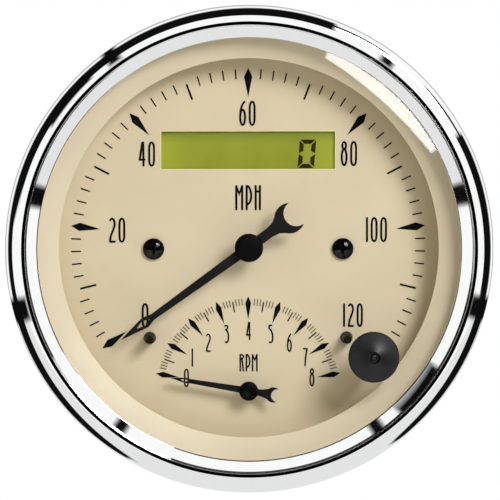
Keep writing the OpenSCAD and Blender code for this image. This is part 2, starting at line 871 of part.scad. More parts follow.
// Shallow dish in the middle of a cap's top
module dish(mouth_r, depth, top) {
    r = (mouth_r * mouth_r + depth * depth) / (2 * depth);
    translate([0, 0, top - depth + r]) sphere(r = r);
}

module tach_hub_cap() {
    z = tach_hand_z + hand_t;
    color("black") difference() {
        hub_cap(tach_cap_r, tach_cap_h, tach_cap_round, z);
        dish(tach_dish_r, tach_dish_depth, z + tach_cap_h);
    }
}

// Trip button

// Domed rubber cap with a dimple and a nib, hollow under its roof, gripping the stem in a boss
module trip_cap() {
    boss_r = trip_stem_r + cap_wall;
    color([0.15, 0.15, 0.16]) at_trip() difference() {
        intersection() {
            rod(trip_cap_r, cap_skirt_z, cap_top);
            translate([0, 0, cap_top - trip_dome_r]) sphere(r = trip_dome_r);
        }
        tube(dimple_r, nib_r, cap_top - dimple_depth, cap_top + cut);
        tube(trip_cap_r - cap_wall, boss_r, cap_skirt_z - cut, cap_roof);
        rod(trip_stem_r + press_gap, cap_skirt_z - cut, stem_top);
    }
}

module trip_stem() {
    color("silver") at_trip() difference() {
        rod(trip_stem_r, stem_end, stem_top);
        tube(trip_stem_r + cut, trip_stem_r - clip_groove, clip_z - clip_t - seat_gap, clip_z);
    }
}

// Open ring in the stem's groove that stops the button from coming out
module trip_clip() {
    color("gray") at_trip() difference() {
        tube(clip_r, trip_stem_r - clip_groove + seat_gap, clip_z - clip_t, clip_z - seat_gap);
        translate([clip_r, 0, 0])
            block(2 * clip_r, 2 * (trip_stem_r - clip_groove), clip_z - clip_t - cut, clip_z + cut);
    }
}

// Points of the spring's centreline, from the well's floor to the underside of the cap's boss
function spring_turn(i) = 360 * i / spring_rings;
function spring_start() = well_floor + spring_wire_r;
function spring_end() = cap_skirt_z - seat_gap - spring_wire_r;
function spring_z(i) = spring_start() + (spring_end() - spring_start()) * i / (spring_turns * spring_rings);
function spring_point(i) =
    [spring_mean_r * cos(spring_turn(i)), spring_mean_r * sin(spring_turn(i)), spring_z(i)];

// Point k of the ring of wire round centreline point i
function spring_skin(i, k) =
    let (a = -360 * k / spring_sides, r = spring_mean_r + spring_wire_r * cos(a))
    [r * cos(spring_turn(i)), r * sin(spring_turn(i)), spring_z(i) + spring_wire_r * sin(a)];

// One unbroken tube of the wire's radius
module trip_spring() {
    n = spring_ring_count;
    s = spring_sides;
    points = [for (i = [0 : n], k = [0 : s - 1]) spring_skin(i, k)];
    sides = [for (i = [0 : n - 1], k = [0 : s - 1])
        let (a = i * s + k, b = i * s + (k + 1) % s)
        for (face = [[a, b, b + s], [a, b + s, a + s]]) face];
    first = [for (k = [1 : s - 2]) [0, k + 1, k]];
    last = [for (k = [1 : s - 2]) [n * s, n * s + k, n * s + k + 1]];
    color("silver") at_trip() polyhedron(points = points, faces = concat(sides, first, last));
}

// Flanged bushing through the glass, with a well for the spring
module trip_bushing() {
    color("black") at_trip() difference() {
        union() {
            rod(bushing_flange_r, lens_front, bushing_front);
            rod(bushing_r, lens_z - bushing_nut_t, lens_front + eps);
        }
        rod(trip_stem_r + running_gap, lens_z - bushing_nut_t - cut, bushing_front + cut);
        rod(well_r, well_floor, bushing_front + cut);
    }
}

module trip_bushing_nut() {
    color("black") at_trip() difference() {
        hex_prism(bushing_nut_af, lens_z - bushing_nut_t, lens_z);
        rod(bushing_r + seat_gap, lens_z - bushing_nut_t - cut, lens_z + cut);
    }
}

module trip_switch() {
    color("gray") at_trip() difference() {
        block(switch_w, switch_w, board_front, switch_top);
        rod(plunger_r + seat_gap, switch_top - plunger_lift, switch_top + cut);
    }
}

module trip_switch_plunger() {
    color("black") at_trip()
        rod(plunger_r, switch_top - plunger_lift + trip_travel + seat_gap, switch_top + plunger_lift);
}

// Back of the case

function block_w() = (blade_count - 1) * blade_pitch + blade_w + 2 * block_margin;

module at_blades() {
    for (i = [0 : blade_count - 1])
        translate([(i - (blade_count - 1) / 2) * blade_pitch, block_y, 0]) children();
}

// Tall header that stands on the board and comes out through the back
module terminal_block() {
    color("black") difference() {
        union() {
            translate([0, block_y, 0]) block(block_w(), block_h, case_back - block_proud, board_back);
            translate([0, block_y, 0]) block(block_w() + 2 * block_flange, block_h + 2 * block_flange,
                case_back - block_proud, case_back);
        }
        at_blades() block(blade_w + 2 * seat_gap, blade_t + 2 * seat_gap,
            case_back - block_proud - cut, board_back + cut);
    }
}

// Blade with a locking hole and a pointed end behind the block, and a tail soldered in the board
module terminal_blades() {
    back = case_back - block_proud;
    point = blade_w / 4;
    hole_r = blade_w / 7;
    color("khaki") at_blades() difference() {
        union() {
            block(blade_w, blade_t, back - blade_l + point, board_back);
            rotate([90, 0, 0]) linear_extrude(blade_t, center = true)
                polygon([[-blade_w / 2, back - blade_l + point + eps], [-blade_w / 4, back - blade_l],
                         [blade_w / 4, back - blade_l], [blade_w / 2, back - blade_l + point + eps]]);
            block(blade_t, blade_t, board_back - eps, board_front);
        }
        translate([0, 0, back - blade_l / 2]) rotate([90, 0, 0])
            cylinder(r = hole_r, h = blade_t + 2 * cut, center = true);
    }
}

// Studs screwed into the board posts: a shoulder through the back and the nut, then a thinner end
module mounting_studs() {
    shoulder_end = case_back - nut_t - nut_clear;
    color("gold") on_both_sides(stud_x) union() {
        rod(stud_shoulder_r, shoulder_end, floor_z + stud_bite - seat_gap);
        rod(stud_r, shoulder_end - stud_l, shoulder_end + eps);
    }
}

module stud_nuts() {
    color("gold") on_both_sides(stud_x) difference() {
        hex_prism(nut_af, case_back - nut_t, case_back);
        rod(stud_shoulder_r + seat_gap, case_back - nut_t - cut, case_back + cut);
    }
}

module case_screw() {
    color("silver") translate([0, top_post_y, 0]) mirror([0, 0, 1])
        cross_screw(board_screw_head_r, board_screw_r, case_wall + screw_bite, case_depth);
}

// Push-in holders with a finger grip outside and a socket for a wedge bulb inside
module lamp_holders() {
    inner = floor_z + lamp_depth;
    color("green") on_both_sides(lamp_x, lamp_y) difference() {
        union() {
            rod(lamp_barrel_r, case_back, inner);
            rod(lamp_flange_r, case_back - lamp_flange_t, case_back);
            block(2 * lamp_barrel_r, lamp_grip_w, case_back - lamp_flange_t - lamp_grip_h, case_back);
        }
        rod(bulb_r + seat_gap, inner - bulb_l / 2, inner + cut);
    }
}

module lamp_bulbs() {
    inner = floor_z + lamp_depth;
    color("lightcyan", 0.5) on_both_sides(lamp_x, lamp_y) union() {
        rod(bulb_r, inner - bulb_l / 2 + seat_gap, inner + bulb_l / 2);
        translate([0, 0, inner + bulb_l / 2]) sphere(r = bulb_r);
    }
}

facing() bezel_ring();
facing() case_shell();
facing() lens_gasket();
facing() lens();
facing() trim_ring();
facing() dial_plate();
facing() speed_scale();
facing() tach_scale();
facing() stop_pins();
facing() dial_screws();
facing() dial_posts();
facing() display_panel();
facing() display_frame();
facing() display_diffuser();
facing() circuit_board();
facing() board_chips();
facing() board_posts();
facing() board_screws();
facing() bobbin_front(speed_move);  // speed_bobbin_front
facing() bobbin_rear(speed_move);  // speed_bobbin_rear
facing() winding_inner(speed_move);  // speed_winding_inner
facing() winding_outer(speed_move);  // speed_winding_outer
facing() shield(speed_move);  // speed_shield
facing() front_bearing(speed_move);  // speed_front_bearing
facing() rear_bearing(speed_move);  // speed_rear_bearing
facing() at_tach() bobbin_front(tach_move);  // tach_bobbin_front
facing() at_tach() bobbin_rear(tach_move);  // tach_bobbin_rear
facing() at_tach() winding_inner(tach_move);  // tach_winding_inner
facing() at_tach() winding_outer(tach_move);  // tach_winding_outer
facing() at_tach() shield(tach_move);  // tach_shield
facing() at_tach() front_bearing(tach_move);  // tach_front_bearing
facing() at_tach() rear_bearing(tach_move);  // tach_rear_bearing
facing() hand(speed_hand_l, speed_cap_r, speed_boss_h, speed_hand_z, speed_zero + speed_rest);  // speed_hand
facing() hub_cap(speed_cap_r, speed_cap_h, speed_cap_round, speed_hand_z + hand_t);  // speed_hub_cap
facing() spindle(speed_move, speed_hand_z);  // speed_spindle
facing() rotor(speed_move);  // speed_rotor
facing() at_tach()  // tach_hand
        hand(tach_hand_l, tach_cap_r, tach_boss_h, tach_hand_z, tach_zero + tach_rest, tach_hand_bold);
facing() at_tach() tach_hub_cap();
facing() at_tach() spindle(tach_move, tach_hand_z);  // tach_spindle
facing() at_tach() rotor(tach_move);  // tach_rotor
facing() trip_cap();
facing() trip_stem();
facing() trip_clip();
facing() trip_spring();
facing() trip_bushing();
facing() trip_bushing_nut();
facing() trip_switch();
facing() trip_switch_plunger();
facing() terminal_block();
facing() terminal_blades();
facing() mounting_studs();
facing() stud_nuts();
facing() case_screw();
facing() lamp_holders();
facing() lamp_bulbs();
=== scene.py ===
import json
import math

import bmesh
import bpy
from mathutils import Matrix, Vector


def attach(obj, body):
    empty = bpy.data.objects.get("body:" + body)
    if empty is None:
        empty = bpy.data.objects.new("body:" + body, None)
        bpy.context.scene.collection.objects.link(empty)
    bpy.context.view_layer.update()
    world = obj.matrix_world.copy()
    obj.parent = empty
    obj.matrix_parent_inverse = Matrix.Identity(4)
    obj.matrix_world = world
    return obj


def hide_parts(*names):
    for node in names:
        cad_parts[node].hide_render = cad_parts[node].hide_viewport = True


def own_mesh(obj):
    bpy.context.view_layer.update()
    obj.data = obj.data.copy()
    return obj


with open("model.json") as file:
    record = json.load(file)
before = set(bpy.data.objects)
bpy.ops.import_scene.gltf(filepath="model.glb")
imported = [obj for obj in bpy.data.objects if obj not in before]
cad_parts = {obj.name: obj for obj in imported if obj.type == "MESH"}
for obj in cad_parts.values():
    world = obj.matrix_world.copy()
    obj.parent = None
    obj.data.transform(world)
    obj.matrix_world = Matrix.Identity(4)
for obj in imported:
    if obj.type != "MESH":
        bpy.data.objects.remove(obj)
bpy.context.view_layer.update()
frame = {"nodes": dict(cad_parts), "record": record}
scene = bpy.context.scene

# Lengths are in millimetres in the dial's own frame: x to the right, y up, z towards the driver, with zero on
# the gauge's axis in the panel plane. They repeat the CAD model's sizes.
MM = 0.001
TINY = 1e-6
SHARP_ANGLE = math.radians(32)

# Bezel: radii, heights and roundings of its section, and the tilt of its crown's edge in degrees. The bevel's
# line runs from the crease's radius and height to the lip's.
BEZEL_R = 68.0
BEZEL_H = 10.0
BEZEL_WALL = 1.0
SHOULDER_R = 65.0
BEAD_R = BEZEL_R - SHOULDER_R
CROWN_TILT = 8.0
CREST_OUT_R = 63.4
CREST_IN_R = 62.55
CREST_ROUND = 0.22
CREASE_R = 62.9
CREASE_Z = 7.9
CREASE_ROUND = 0.26
LIP_R = 59.35
LIP_FRONT = 7.3
LIP_ROUND = 0.35
LENS_FRONT = 6.4
POCKET_R = 67.0
HEM_IN_R = 64.5
HEM_CHAMFER = 0.15
CORNER_FLAT = 0.05
# Steps in each rounding of the section, and round the bezel
BEAD_STEPS = 24
CROWN_STEPS = 8
CREST_STEPS = 5
CREASE_STEPS = 8
LIP_STEPS = 6
POCKET_STEPS = 8
BEZEL_SEGMENTS = 360

# Hub caps: radius, top, height, rounding and bore
SPEED_CAP = (4.0, 0.0, 2.5, 1.2, 0.77)
TACH_CAP = (2.7, -3.2, 1.7, 0.8, 0.77)
CAP_BORE_DEPTH = 0.85
CAP_STEPS = 10
CAP_SEGMENTS = 96
TACH_Y = -40.6
TACH_DISH_R = 1.3
TACH_DISH_DEPTH = 0.35
TACH_DISH_STEPS = 8

# Hands
HANDS = ("speed_hand", "tach_hand")
HAND_EDGE = 0.12
WELD_REACH = 0.001

# Trip button. TRIP_TOP is the peak of the CAD model's dome. The top here starts at the dimple's rim, and
# falls steeply at first and gently farther out.
TRIP_XY = (34.505, -29.889)
TRIP_CAP_R = 7.1
TRIP_SKIRT_Z = 9.2
TRIP_SKIRT_TOP = 10.5
TRIP_ROOF = 9.8
TRIP_WALL = 1.0
TRIP_BOSS_R = 2.5
TRIP_BORE_R = 1.52
TRIP_DOME_R = 15.5
TRIP_TOP = TRIP_SKIRT_TOP + TRIP_DOME_R - math.sqrt(TRIP_DOME_R**2 - TRIP_CAP_R**2)
TRIP_RIM_Z = 12.1
TRIP_RIM_FALL = 1.1
TRIP_RIM_RUN = 2.4
TRIP_TOP_SLOPE = 0.095
TRIP_TOP_STEPS = 10
DIMPLE_R = 1.7
DIMPLE_DEPTH = 2.2
DIMPLE_FILLET = 0.12
NIB_R = 0.75
NIB_SUNK = 1.0
RIM_W = 0.2
EDGE_ROUND = 0.3
SKIRT_CHAMFER = 0.15
# Rounded edges as steps sideways and down: of the nib, the dimple's rim and the skirt's top
NIB_EDGE = [(0.2, 0.03), (0.05, 0.12)]
RIM_EDGE = [(0.0, 0.18), (0.06, 0.06)]
SKIRT_EDGE = [(0.08, 0.05), (0.0, 0.25)]

# Trip button's spring: it stands on the well's floor and keeps a share of its height when the button is in
SPRING_R = 2.2
SPRING_WIRE_R = 0.2
SPRING_TURNS = 4
SPRING_STEPS = 24
SPRING_SIDES = 10
SPRING_Z = (4.4, 8.95)

# Dial's print
DIAL_Z = -9.5
PRINT_T = 0.08
LAYER_STEP = 0.002

# Display
WINDOW_W = 49.0
WINDOW_H = 10.6
DISPLAY_Y = 27.1
DISPLAY_FRONT = -10.5
BORDER_W = 0.22
BORDER_T = 0.03
DIGIT_X = 13.9
DIGIT_Y = 22.0
DIGIT_W = 4.69
DIGIT_H = 8.06
DIGIT_SLANT = 0.66
DIGIT_T = 0.02
# Bars of the digit in a box one wide and one high, with slanting ends and gaps between them
DIGIT_BARS = [
    [(0.045, 1.0), (0.965, 1.0), (0.695, 0.85), (0.305, 0.85)],
    [(0.035, 0.0), (0.96, 0.0), (0.69, 0.152), (0.30, 0.152)],
    [(0.0, 0.97), (0.275, 0.825), (0.275, 0.60), (0.02, 0.52)],
    [(1.0, 0.97), (0.735, 0.82), (0.735, 0.60), (1.0, 0.52)],
    [(0.02, 0.485), (0.275, 0.405), (0.275, 0.185), (0.0, 0.035)],
    [(1.0, 0.485), (0.735, 0.38), (0.735, 0.18), (1.0, 0.035)],
]

# Studs: the thread has a number of rows to each pitch, and most of its depth is cut away at the tip
STUD_X = 38.0
STUD_SHOULDER_R = 3.0
STUD_R = 2.4
STUD_TOP = -52.85
STUD_SHOULDER_END = -66.3
STUD_END = -86.3
STUD_PITCH = 0.8
STUD_SEGMENTS = 36
THREAD_DEPTH = 0.42
THREAD_ROWS = 8
THREAD_RUN_OUT = 0.9


def at(x, y, z):
    """A point of the dial's frame, in the shared frame."""
    return Vector((x * MM, -z * MM, y * MM))


# Materials

# Where most of a noise's values lie
NOISE_SPAN = (0.32, 0.68)


def add(tree, kind, inputs=None, **props):
    """Adds a shader node. An input that is a socket is linked, and any other value is set."""
    made = tree.nodes.new("ShaderNode" + kind)
    for key, value in props.items():
        setattr(made, key, value)
    for key, value in (inputs or {}).items():
        if isinstance(value, bpy.types.NodeSocket):
            tree.links.new(value, made.inputs[key])
        else:
            made.inputs[key].default_value = value
    return made


def fold(tree, operation, first, *others):
    """Several values made into one, two at a time."""
    value = first
    for other in others:
        value = add(tree, "Math", {0: value, 1: other}, operation=operation).outputs[0]
    return value


def largest(tree, *values):
    return fold(tree, "MAXIMUM", *values)


def smallest(tree, *values):
    return fold(tree, "MINIMUM", *values)


def vector(tree, operation, *values):
    """The vector that a vector operation gives."""
    return add(tree, "VectorMath", dict(enumerate(values)), operation=operation).outputs["Vector"]


def measure(tree, operation, *values):
    """The number that a vector operation gives."""
    return add(tree, "VectorMath", dict(enumerate(values)), operation=operation).outputs["Value"]


def start(name):
    """A new material, its node tree, its output node and its object coordinates."""
    material = bpy.data.materials.new(name)
    material.use_nodes = True
    tree = material.node_tree
    tree.nodes.clear()
    output = add(tree, "OutputMaterial")
    coords = add(tree, "TexCoord").outputs["Object"]
    return material, tree, output, coords


def noise(tree, coords, size, detail=3.0, stretch=None):
    """Noise whose features are about size millimetres wide."""
    if stretch:
        coords = add(tree, "Mapping", {"Vector": coords, "Scale": stretch}).outputs["Vector"]
    made = add(tree, "TexNoise", {"Vector": coords, "Scale": 1.0 / (size * MM), "Detail": detail})
    return made.outputs["Fac"]


def spread(tree, value, low, high, span=NOISE_SPAN):
    """The value's usual span mapped to low and high."""
    made = add(tree, "MapRange", {0: value, 1: span[0], 2: span[1], 3: low, 4: high})
    return made.outputs["Result"]


def shades(tree, value, low, high, span=NOISE_SPAN):
    """A colour between two others, by a value."""
    made = add(tree, "ValToRGB", {"Fac": value})
    for stop, place, colour in zip(made.color_ramp.elements, span, (low, high)):
        stop.position = place
        stop.color = (*colour, 1.0)
    return made.outputs["Color"]


def tinted(tree, share, first, second):
    """The first colour where share is 0, and the second, a plain one, where it is 1."""
    made = add(tree, "MixRGB", {"Fac": share, "Color1": first, "Color2": (*second, 1.0)})
    return made.outputs["Color"]


def raised(tree, height, depth, strength=0.6):
    """A normal from a height, depth millimetres deep."""
    made = add(tree, "Bump", {"Height": height, "Strength": strength, "Distance": depth * MM})
    return made.outputs["Normal"]


def finish_surface(tree, output, inputs):
    """Joins a principled shader with these inputs to the output."""
    shader = add(tree, "BsdfPrincipled", inputs)
    tree.links.new(shader.outputs["BSDF"], output.inputs["Surface"])


# Finishes made by surface(): two shades, the lowest and highest roughness, and in millimetres the grain, the
# drift between the shades, and the depth of the relief
FINISHES = {
    "display_edge": ((0.55, 0.55, 0.22), (0.66, 0.64, 0.28), (0.4, 0.5), 0.4, 4.0, 0.01),
    "display_ink": ((0.016, 0.011, 0.0005), (0.026, 0.018, 0.001), (0.3, 0.42), 0.3, 2.0, 0.004),
    "display_white": ((0.76, 0.76, 0.73), (0.84, 0.84, 0.81), (0.4, 0.55), 0.4, 6.0, 0.01),
    "scale_ink": ((0.002, 0.0016, 0.0012), (0.005, 0.004, 0.003), (0.5, 0.65), 0.2, 2.0, 0.006),
    "pin_black": ((0.007, 0.006, 0.0035), (0.014, 0.011, 0.006), (0.42, 0.55), 0.3, 1.2, 0.01),
    "screw_black": ((0.002, 0.002, 0.002), (0.005, 0.004, 0.005), (0.05, 0.09), 0.4, 2.0, 0.003),
    "hand_black": ((0.004, 0.0035, 0.0035), (0.008, 0.007, 0.007), (0.45, 0.6), 0.2, 3.0, 0.008),
    "cap_black": ((0.0015, 0.0012, 0.0015), (0.003, 0.0026, 0.003), (0.34, 0.46), 0.25, 2.5, 0.008),
    "button_rubber": ((0.010, 0.010, 0.0115), (0.015, 0.0148, 0.017), (0.34, 0.42), 0.22, 2.5, 0.012),
    "gasket_rubber": ((0.010, 0.010, 0.011), (0.022, 0.022, 0.023), (0.7, 0.85), 0.25, 4.0, 0.03),
    "bushing_black": ((0.010, 0.010, 0.011), (0.022, 0.022, 0.023), (0.4, 0.55), 0.3, 2.0, 0.01),
    "case_paint": ((0.020, 0.020, 0.021), (0.036, 0.036, 0.038), (0.34, 0.5), 0.7, 16.0, 0.03),
    "chip_black": ((0.018, 0.018, 0.019), (0.035, 0.035, 0.036), (0.5, 0.65), 0.15, 2.0, 0.01),
    "block_black": ((0.016, 0.016, 0.017), (0.03, 0.03, 0.031), (0.42, 0.58), 0.3, 5.0, 0.02),
    "holder_black": ((0.018, 0.018, 0.019), (0.036, 0.036, 0.037), (0.42, 0.58), 0.3, 4.0, 0.02),
    "switch_grey": ((0.16, 0.16, 0.165), (0.22, 0.22, 0.225), (0.4, 0.55), 0.3, 2.0, 0.01),
    "magnet_ferrite": ((0.07, 0.07, 0.075), (0.14, 0.14, 0.15), (0.55, 0.7), 0.3, 2.0, 0.02),
    "bobbin_ivory": ((0.70, 0.65, 0.52), (0.80, 0.76, 0.63), (0.4, 0.55), 0.5, 5.0, 0.01),
    "post_aluminium": ((0.62, 0.62, 0.63), (0.76, 0.76, 0.77), (0.25, 0.4), 0.2, 5.0, 0.01),
    "zinc_steel": ((0.52, 0.50, 0.43), (0.72, 0.70, 0.64), (0.28, 0.42), 0.3, 2.5, 0.01),
    "shield_steel": ((0.50, 0.50, 0.51), (0.64, 0.64, 0.65), (0.3, 0.45), 0.3, 6.0, 0.01),
    "spindle_steel": ((0.52, 0.52, 0.53), (0.68, 0.68, 0.69), (0.2, 0.32), 0.2, 2.0, 0.006),
    "bearing_brass": ((0.60, 0.43, 0.17), (0.78, 0.60, 0.27), (0.22, 0.36), 0.2, 2.0, 0.008),
    "blade_brass": ((0.58, 0.53, 0.40), (0.74, 0.69, 0.55), (0.25, 0.4), 0.25, 2.5, 0.01),
}
# The metals among them, and the scale of the noise on those that are drawn
METALS = {
    "post_aluminium": (1, 8, 1), "shield_steel": (1, 6, 1), "zinc_steel": None, "spindle_steel": None,
    "bearing_brass": None, "blade_brass": None,
}
# Other sockets that they set
SOCKETS = {
    # display_edge glows: a painted glow that keeps the border pale where the window's wall lies in shade
    "display_edge": {"Emission Color": (0.62, 0.60, 0.24, 1.0), "Emission Strength": 0.3},
    "display_ink": {"Specular IOR Level": 0.1},
    "scale_ink": {"Specular IOR Level": 0.05},
    "pin_black": {"Specular IOR Level": 0.05},
    "screw_black": {"Specular IOR Level": 0.3},
    "hand_black": {"Specular IOR Level": 0.12},
    "cap_black": {"Specular IOR Level": 0.06},
    "button_rubber": {"Specular IOR Level": 0.28},
}


def surface(name, low, high, rough, grain, mottle, bump):
    """Two shades that drift over mottle, with fine grain in the roughness and the relief."""
    material, tree, output, coords = start(name)
    stretch = METALS.get(name)
    drift = noise(tree, coords, mottle, stretch=stretch)
    fine = noise(tree, coords, grain, detail=2.0, stretch=stretch)
    finish_surface(tree, output, {
        "Base Color": shades(tree, drift, low, high),
        "Roughness": spread(tree, fine, *rough),
        "Normal": raised(tree, fine, bump),
        "Metallic": 1.0 if name in METALS else 0.0,
        **SOCKETS.get(name, {}),
    })
    return material


def clear_glass(name, tint, rough):
    """Glass that lets lamps and soft light straight through to what is behind it."""
    material, tree, output, coords = start(name)
    haze = noise(tree, coords, size=30.0)
    glass = add(tree, "BsdfPrincipled", {
        "Base Color": (*tint, 1.0), "IOR": 1.45, "Transmission Weight": 1.0,
        "Roughness": spread(tree, haze, *rough),
    })
    through = add(tree, "BsdfTransparent", {"Color": (*tint, 1.0)})
    path = add(tree, "LightPath")
    passing = largest(tree, path.outputs["Is Shadow Ray"], path.outputs["Is Diffuse Ray"])
    mix = add(tree, "MixShader", {0: passing, 1: glass.outputs["BSDF"], 2: through.outputs["BSDF"]})
    tree.links.new(mix.outputs["Shader"], output.inputs["Surface"])
    return material


def dial_sheet(name, low, high, rough, gloss):
    """Matt print on a sheet: broad drift, fine paper tooth and a few darker specks."""
    material, tree, output, coords = start(name)
    drift = noise(tree, coords, size=22.0, detail=4.0)
    tooth = noise(tree, coords, size=0.35, detail=2.0)
    specks = noise(tree, coords, size=1.1, detail=1.0)
    base = shades(tree, drift, low, high, span=(0.35, 0.65))
    speck_share = spread(tree, specks, 0.0, 0.05, span=(0.6, 0.8))
    finish_surface(tree, output, {
        "Base Color": tinted(tree, speck_share, base, (0.25, 0.19, 0.11)),
        "Roughness": spread(tree, tooth, *rough),
        "Normal": raised(tree, tooth, depth=0.012),
        "Specular IOR Level": gloss,
    })
    return material


def display_film(name):
    """Back-lit film with a faint glow, a painted glow at both ends and painted shade under the top edge."""
    painted_glow_from, painted_shade_from = 0.62, 0.35
    material, tree, output, coords = start(name)
    axes = add(tree, "SeparateXYZ", {"Vector": coords})
    side = add(tree, "Math", {0: axes.outputs["X"]}, operation="ABSOLUTE")
    half = WINDOW_W / 2 * MM
    middle = DISPLAY_Y * MM
    reach = WINDOW_H / 2 * MM
    # Shares for the painted glow of the lamps at both ends and the painted shade under the top edge
    ends = spread(tree, side.outputs[0], 0.0, 1.0, span=(half * painted_glow_from, half))
    top = spread(tree, axes.outputs["Z"], 0.0, 1.0, span=(middle + reach * painted_shade_from, middle + reach))
    cloud = noise(tree, coords, size=9.0)
    base = shades(tree, cloud, (0.240, 0.262, 0.022), (0.278, 0.303, 0.030))
    # Painted glow at the ends, then painted shade under the top edge; the film's faint glow carries both
    lit = tinted(tree, ends, base, (0.325, 0.36, 0.030))
    painted_glow_and_shade = tinted(tree, top, lit, (0.16, 0.217, 0.028))
    finish_surface(tree, output, {
        "Base Color": painted_glow_and_shade,
        "Roughness": spread(tree, noise(tree, coords, size=0.3), 0.3, 0.42),
        "Emission Color": painted_glow_and_shade,
        "Emission Strength": 0.12,
        "Specular IOR Level": 0.2,
    })
    return material


def wound_wire(name, axis):
    """Enamelled wire laid side by side along an axis."""
    material, tree, output, coords = start(name)
    bands = add(tree, "TexWave", {"Vector": coords, "Scale": 420.0, "Distortion": 0.4}, bands_direction=axis)
    turns = bands.outputs["Fac"]
    finish_surface(tree, output, {
        "Base Color": shades(tree, turns, (0.22, 0.07, 0.02), (0.72, 0.32, 0.13), span=(0.1, 0.9)),
        "Roughness": spread(tree, noise(tree, coords, size=0.8), 0.25, 0.4),
        "Normal": raised(tree, turns, depth=0.15),
        "Metallic": 0.85,
    })
    return material


def solder_mask(name):
    """Green board with paler copper tracks under its mask."""
    material, tree, output, coords = start(name)
    cells = add(tree, "TexVoronoi", {"Vector": coords, "Scale": 190.0}, feature="F1", distance="MANHATTAN")
    tracks = cells.outputs["Distance"]
    finish_surface(tree, output, {
        "Base Color": shades(tree, tracks, (0.012, 0.13, 0.045), (0.03, 0.24, 0.09), span=(0.55, 0.6)),
        "Roughness": spread(tree, noise(tree, coords, size=1.5), 0.22, 0.4),
        "Normal": raised(tree, tracks, depth=0.03),
    })
    return material


def polished_chrome(name):
    """Mirror plate with faint polishing haze."""
    material, tree, output, coords = start(name)
    haze = noise(tree, coords, size=3.0, detail=5.0)
    finish_surface(tree, output, {
        "Base Color": shades(tree, haze, (0.93, 0.935, 0.94), (0.955, 0.958, 0.96)),
        "Roughness": spread(tree, haze, 0.01, 0.024),
        "Metallic": 1.0,
    })
    return material


MATERIALS = {name: surface(name, *finish) for name, finish in FINISHES.items()}
MATERIALS.update({
    "bezel_chrome": polished_chrome("bezel_chrome"),
    "lens_glass": clear_glass("lens_glass", (0.985, 0.99, 0.985), (0.0, 0.002)),
    "bulb_glass": clear_glass("bulb_glass", (0.97, 0.97, 0.95), (0.0, 0.02)),
    "dial_beige": dial_sheet("dial_beige", (0.70, 0.595, 0.43), (0.74, 0.635, 0.465), (0.55, 0.7), 0.25),
    "trim_beige": dial_sheet("trim_beige", (0.71, 0.605, 0.445), (0.75, 0.645, 0.48), (0.42, 0.52), 0.45),
    "display_green": display_film("display_green"),
    "winding_copper": wound_wire("winding_copper", "Z"),
    "board_green": solder_mask("board_green"),
})


def dress_nodes():
    """Gives every CAD node the material of its slot in the record."""
    for row in frame["record"]["subparts"]:
        mesh = frame["nodes"][row["node"]].data
        mesh.materials.clear()
        mesh.materials.append(MATERIALS[row["material_slot"]])
    across = wound_wire("winding_copper_x", "X")
    for node in ("speed_winding_outer", "tach_winding_outer"):
        frame["nodes"][node].data.materials[0] = across


# Meshes


def piece(name, verts, faces, body, slot, replaced=()):
    """A mesh with its slot's material, which rides on a body and stands for CAD nodes."""
    mesh = bpy.data.meshes.new(name)
    mesh.from_pydata([tuple(v) for v in verts], [], [tuple(f) for f in faces])
    work = bmesh.new()
    work.from_mesh(mesh)
    bmesh.ops.recalc_face_normals(work, faces=work.faces)
    work.to_mesh(mesh)
    work.free()
    mesh.shade_smooth()
    mesh.set_sharp_from_angle(angle=SHARP_ANGLE)
    mesh.materials.append(MATERIALS[slot])
    made = bpy.data.objects.new(name, mesh)
    scene.collection.objects.link(made)
    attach(made, body)
    if replaced:
        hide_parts(*replaced)
    return made


def arc(x, y, r, first, last, steps):
    """Points of a circle's arc, between two angles in degrees."""
    angles = [math.radians(first + (last - first) * i / steps) for i in range(steps + 1)]
    return [(x + r * math.cos(a), y + r * math.sin(a)) for a in angles]


def revolve(profile, segments, closed, x=0.0, y=0.0):
    """Verts and faces of a profile of (radius, height) points turned about the axis through (x, y)."""
    verts, faces, rings = [], [], []
    for r, z in profile:
        first = len(verts)
        steps = segments if r > TINY else 1
        for j in range(steps):
            a = 2 * math.pi * j / segments
            verts.append(at(x + r * math.cos(a), y + r * math.sin(a), z))
        rings.append([first + j % steps for j in range(segments + 1)])
    pairs = list(zip(rings, rings[1:]))
    if closed:
        pairs.append((rings[-1], rings[0]))
    for a, b in pairs:
        for j in range(segments):
            corners = (a[j], a[j + 1], b[j + 1], b[j])
            face = tuple(dict.fromkeys(corners))
            if len(face) > 2:
                faces.append(face)
    return verts, faces


def join(parts):
    """Several (verts, faces) pairs as one."""
    verts, faces = [], []
    for more, loops in parts:
        faces += [[i + len(verts) for i in loop] for loop in loops]
        verts += more
    return verts, faces


def plate(flat, faces, low, high):
    """A closed plate between two heights over flat faces, with sides along its open edges."""
    count = len(flat)
    verts = [at(x, y, high) for x, y in flat] + [at(x, y, low) for x, y in flat]
    edges = {pair for face in faces for pair in zip(face, face[1:] + face[:1])}
    sides = [[b, a, a + count, b + count] for a, b in sorted(edges) if (b, a) not in edges]
    under = [[i + count for i in reversed(face)] for face in faces]
    return verts, faces + under + sides


def tube(points, r, sides):
    """A round tube along points of the dial's frame, closed at both ends."""
    spots = [Vector(p) for p in points]
    verts, faces = [], []
    for i, spot in enumerate(spots):
        ahead = (spots[min(i + 1, len(spots) - 1)] - spots[max(i - 1, 0)]).normalized()
        out = ahead.cross(Vector((0, 0, 1))).normalized()
        over = out.cross(ahead)
        for k in range(sides):
            a = 2 * math.pi * k / sides
            verts.append(at(*(spot + r * (math.cos(a) * out + math.sin(a) * over))))
    for i in range(len(spots) - 1):
        for k in range(sides):
            a, b = i * sides + k, i * sides + (k + 1) % sides
            faces.append([a, b, b + sides, a + sides])
    faces.append(list(range(sides)))
    faces.append(list(range(len(verts) - sides, len(verts))))
    return verts, faces


# Printed figures

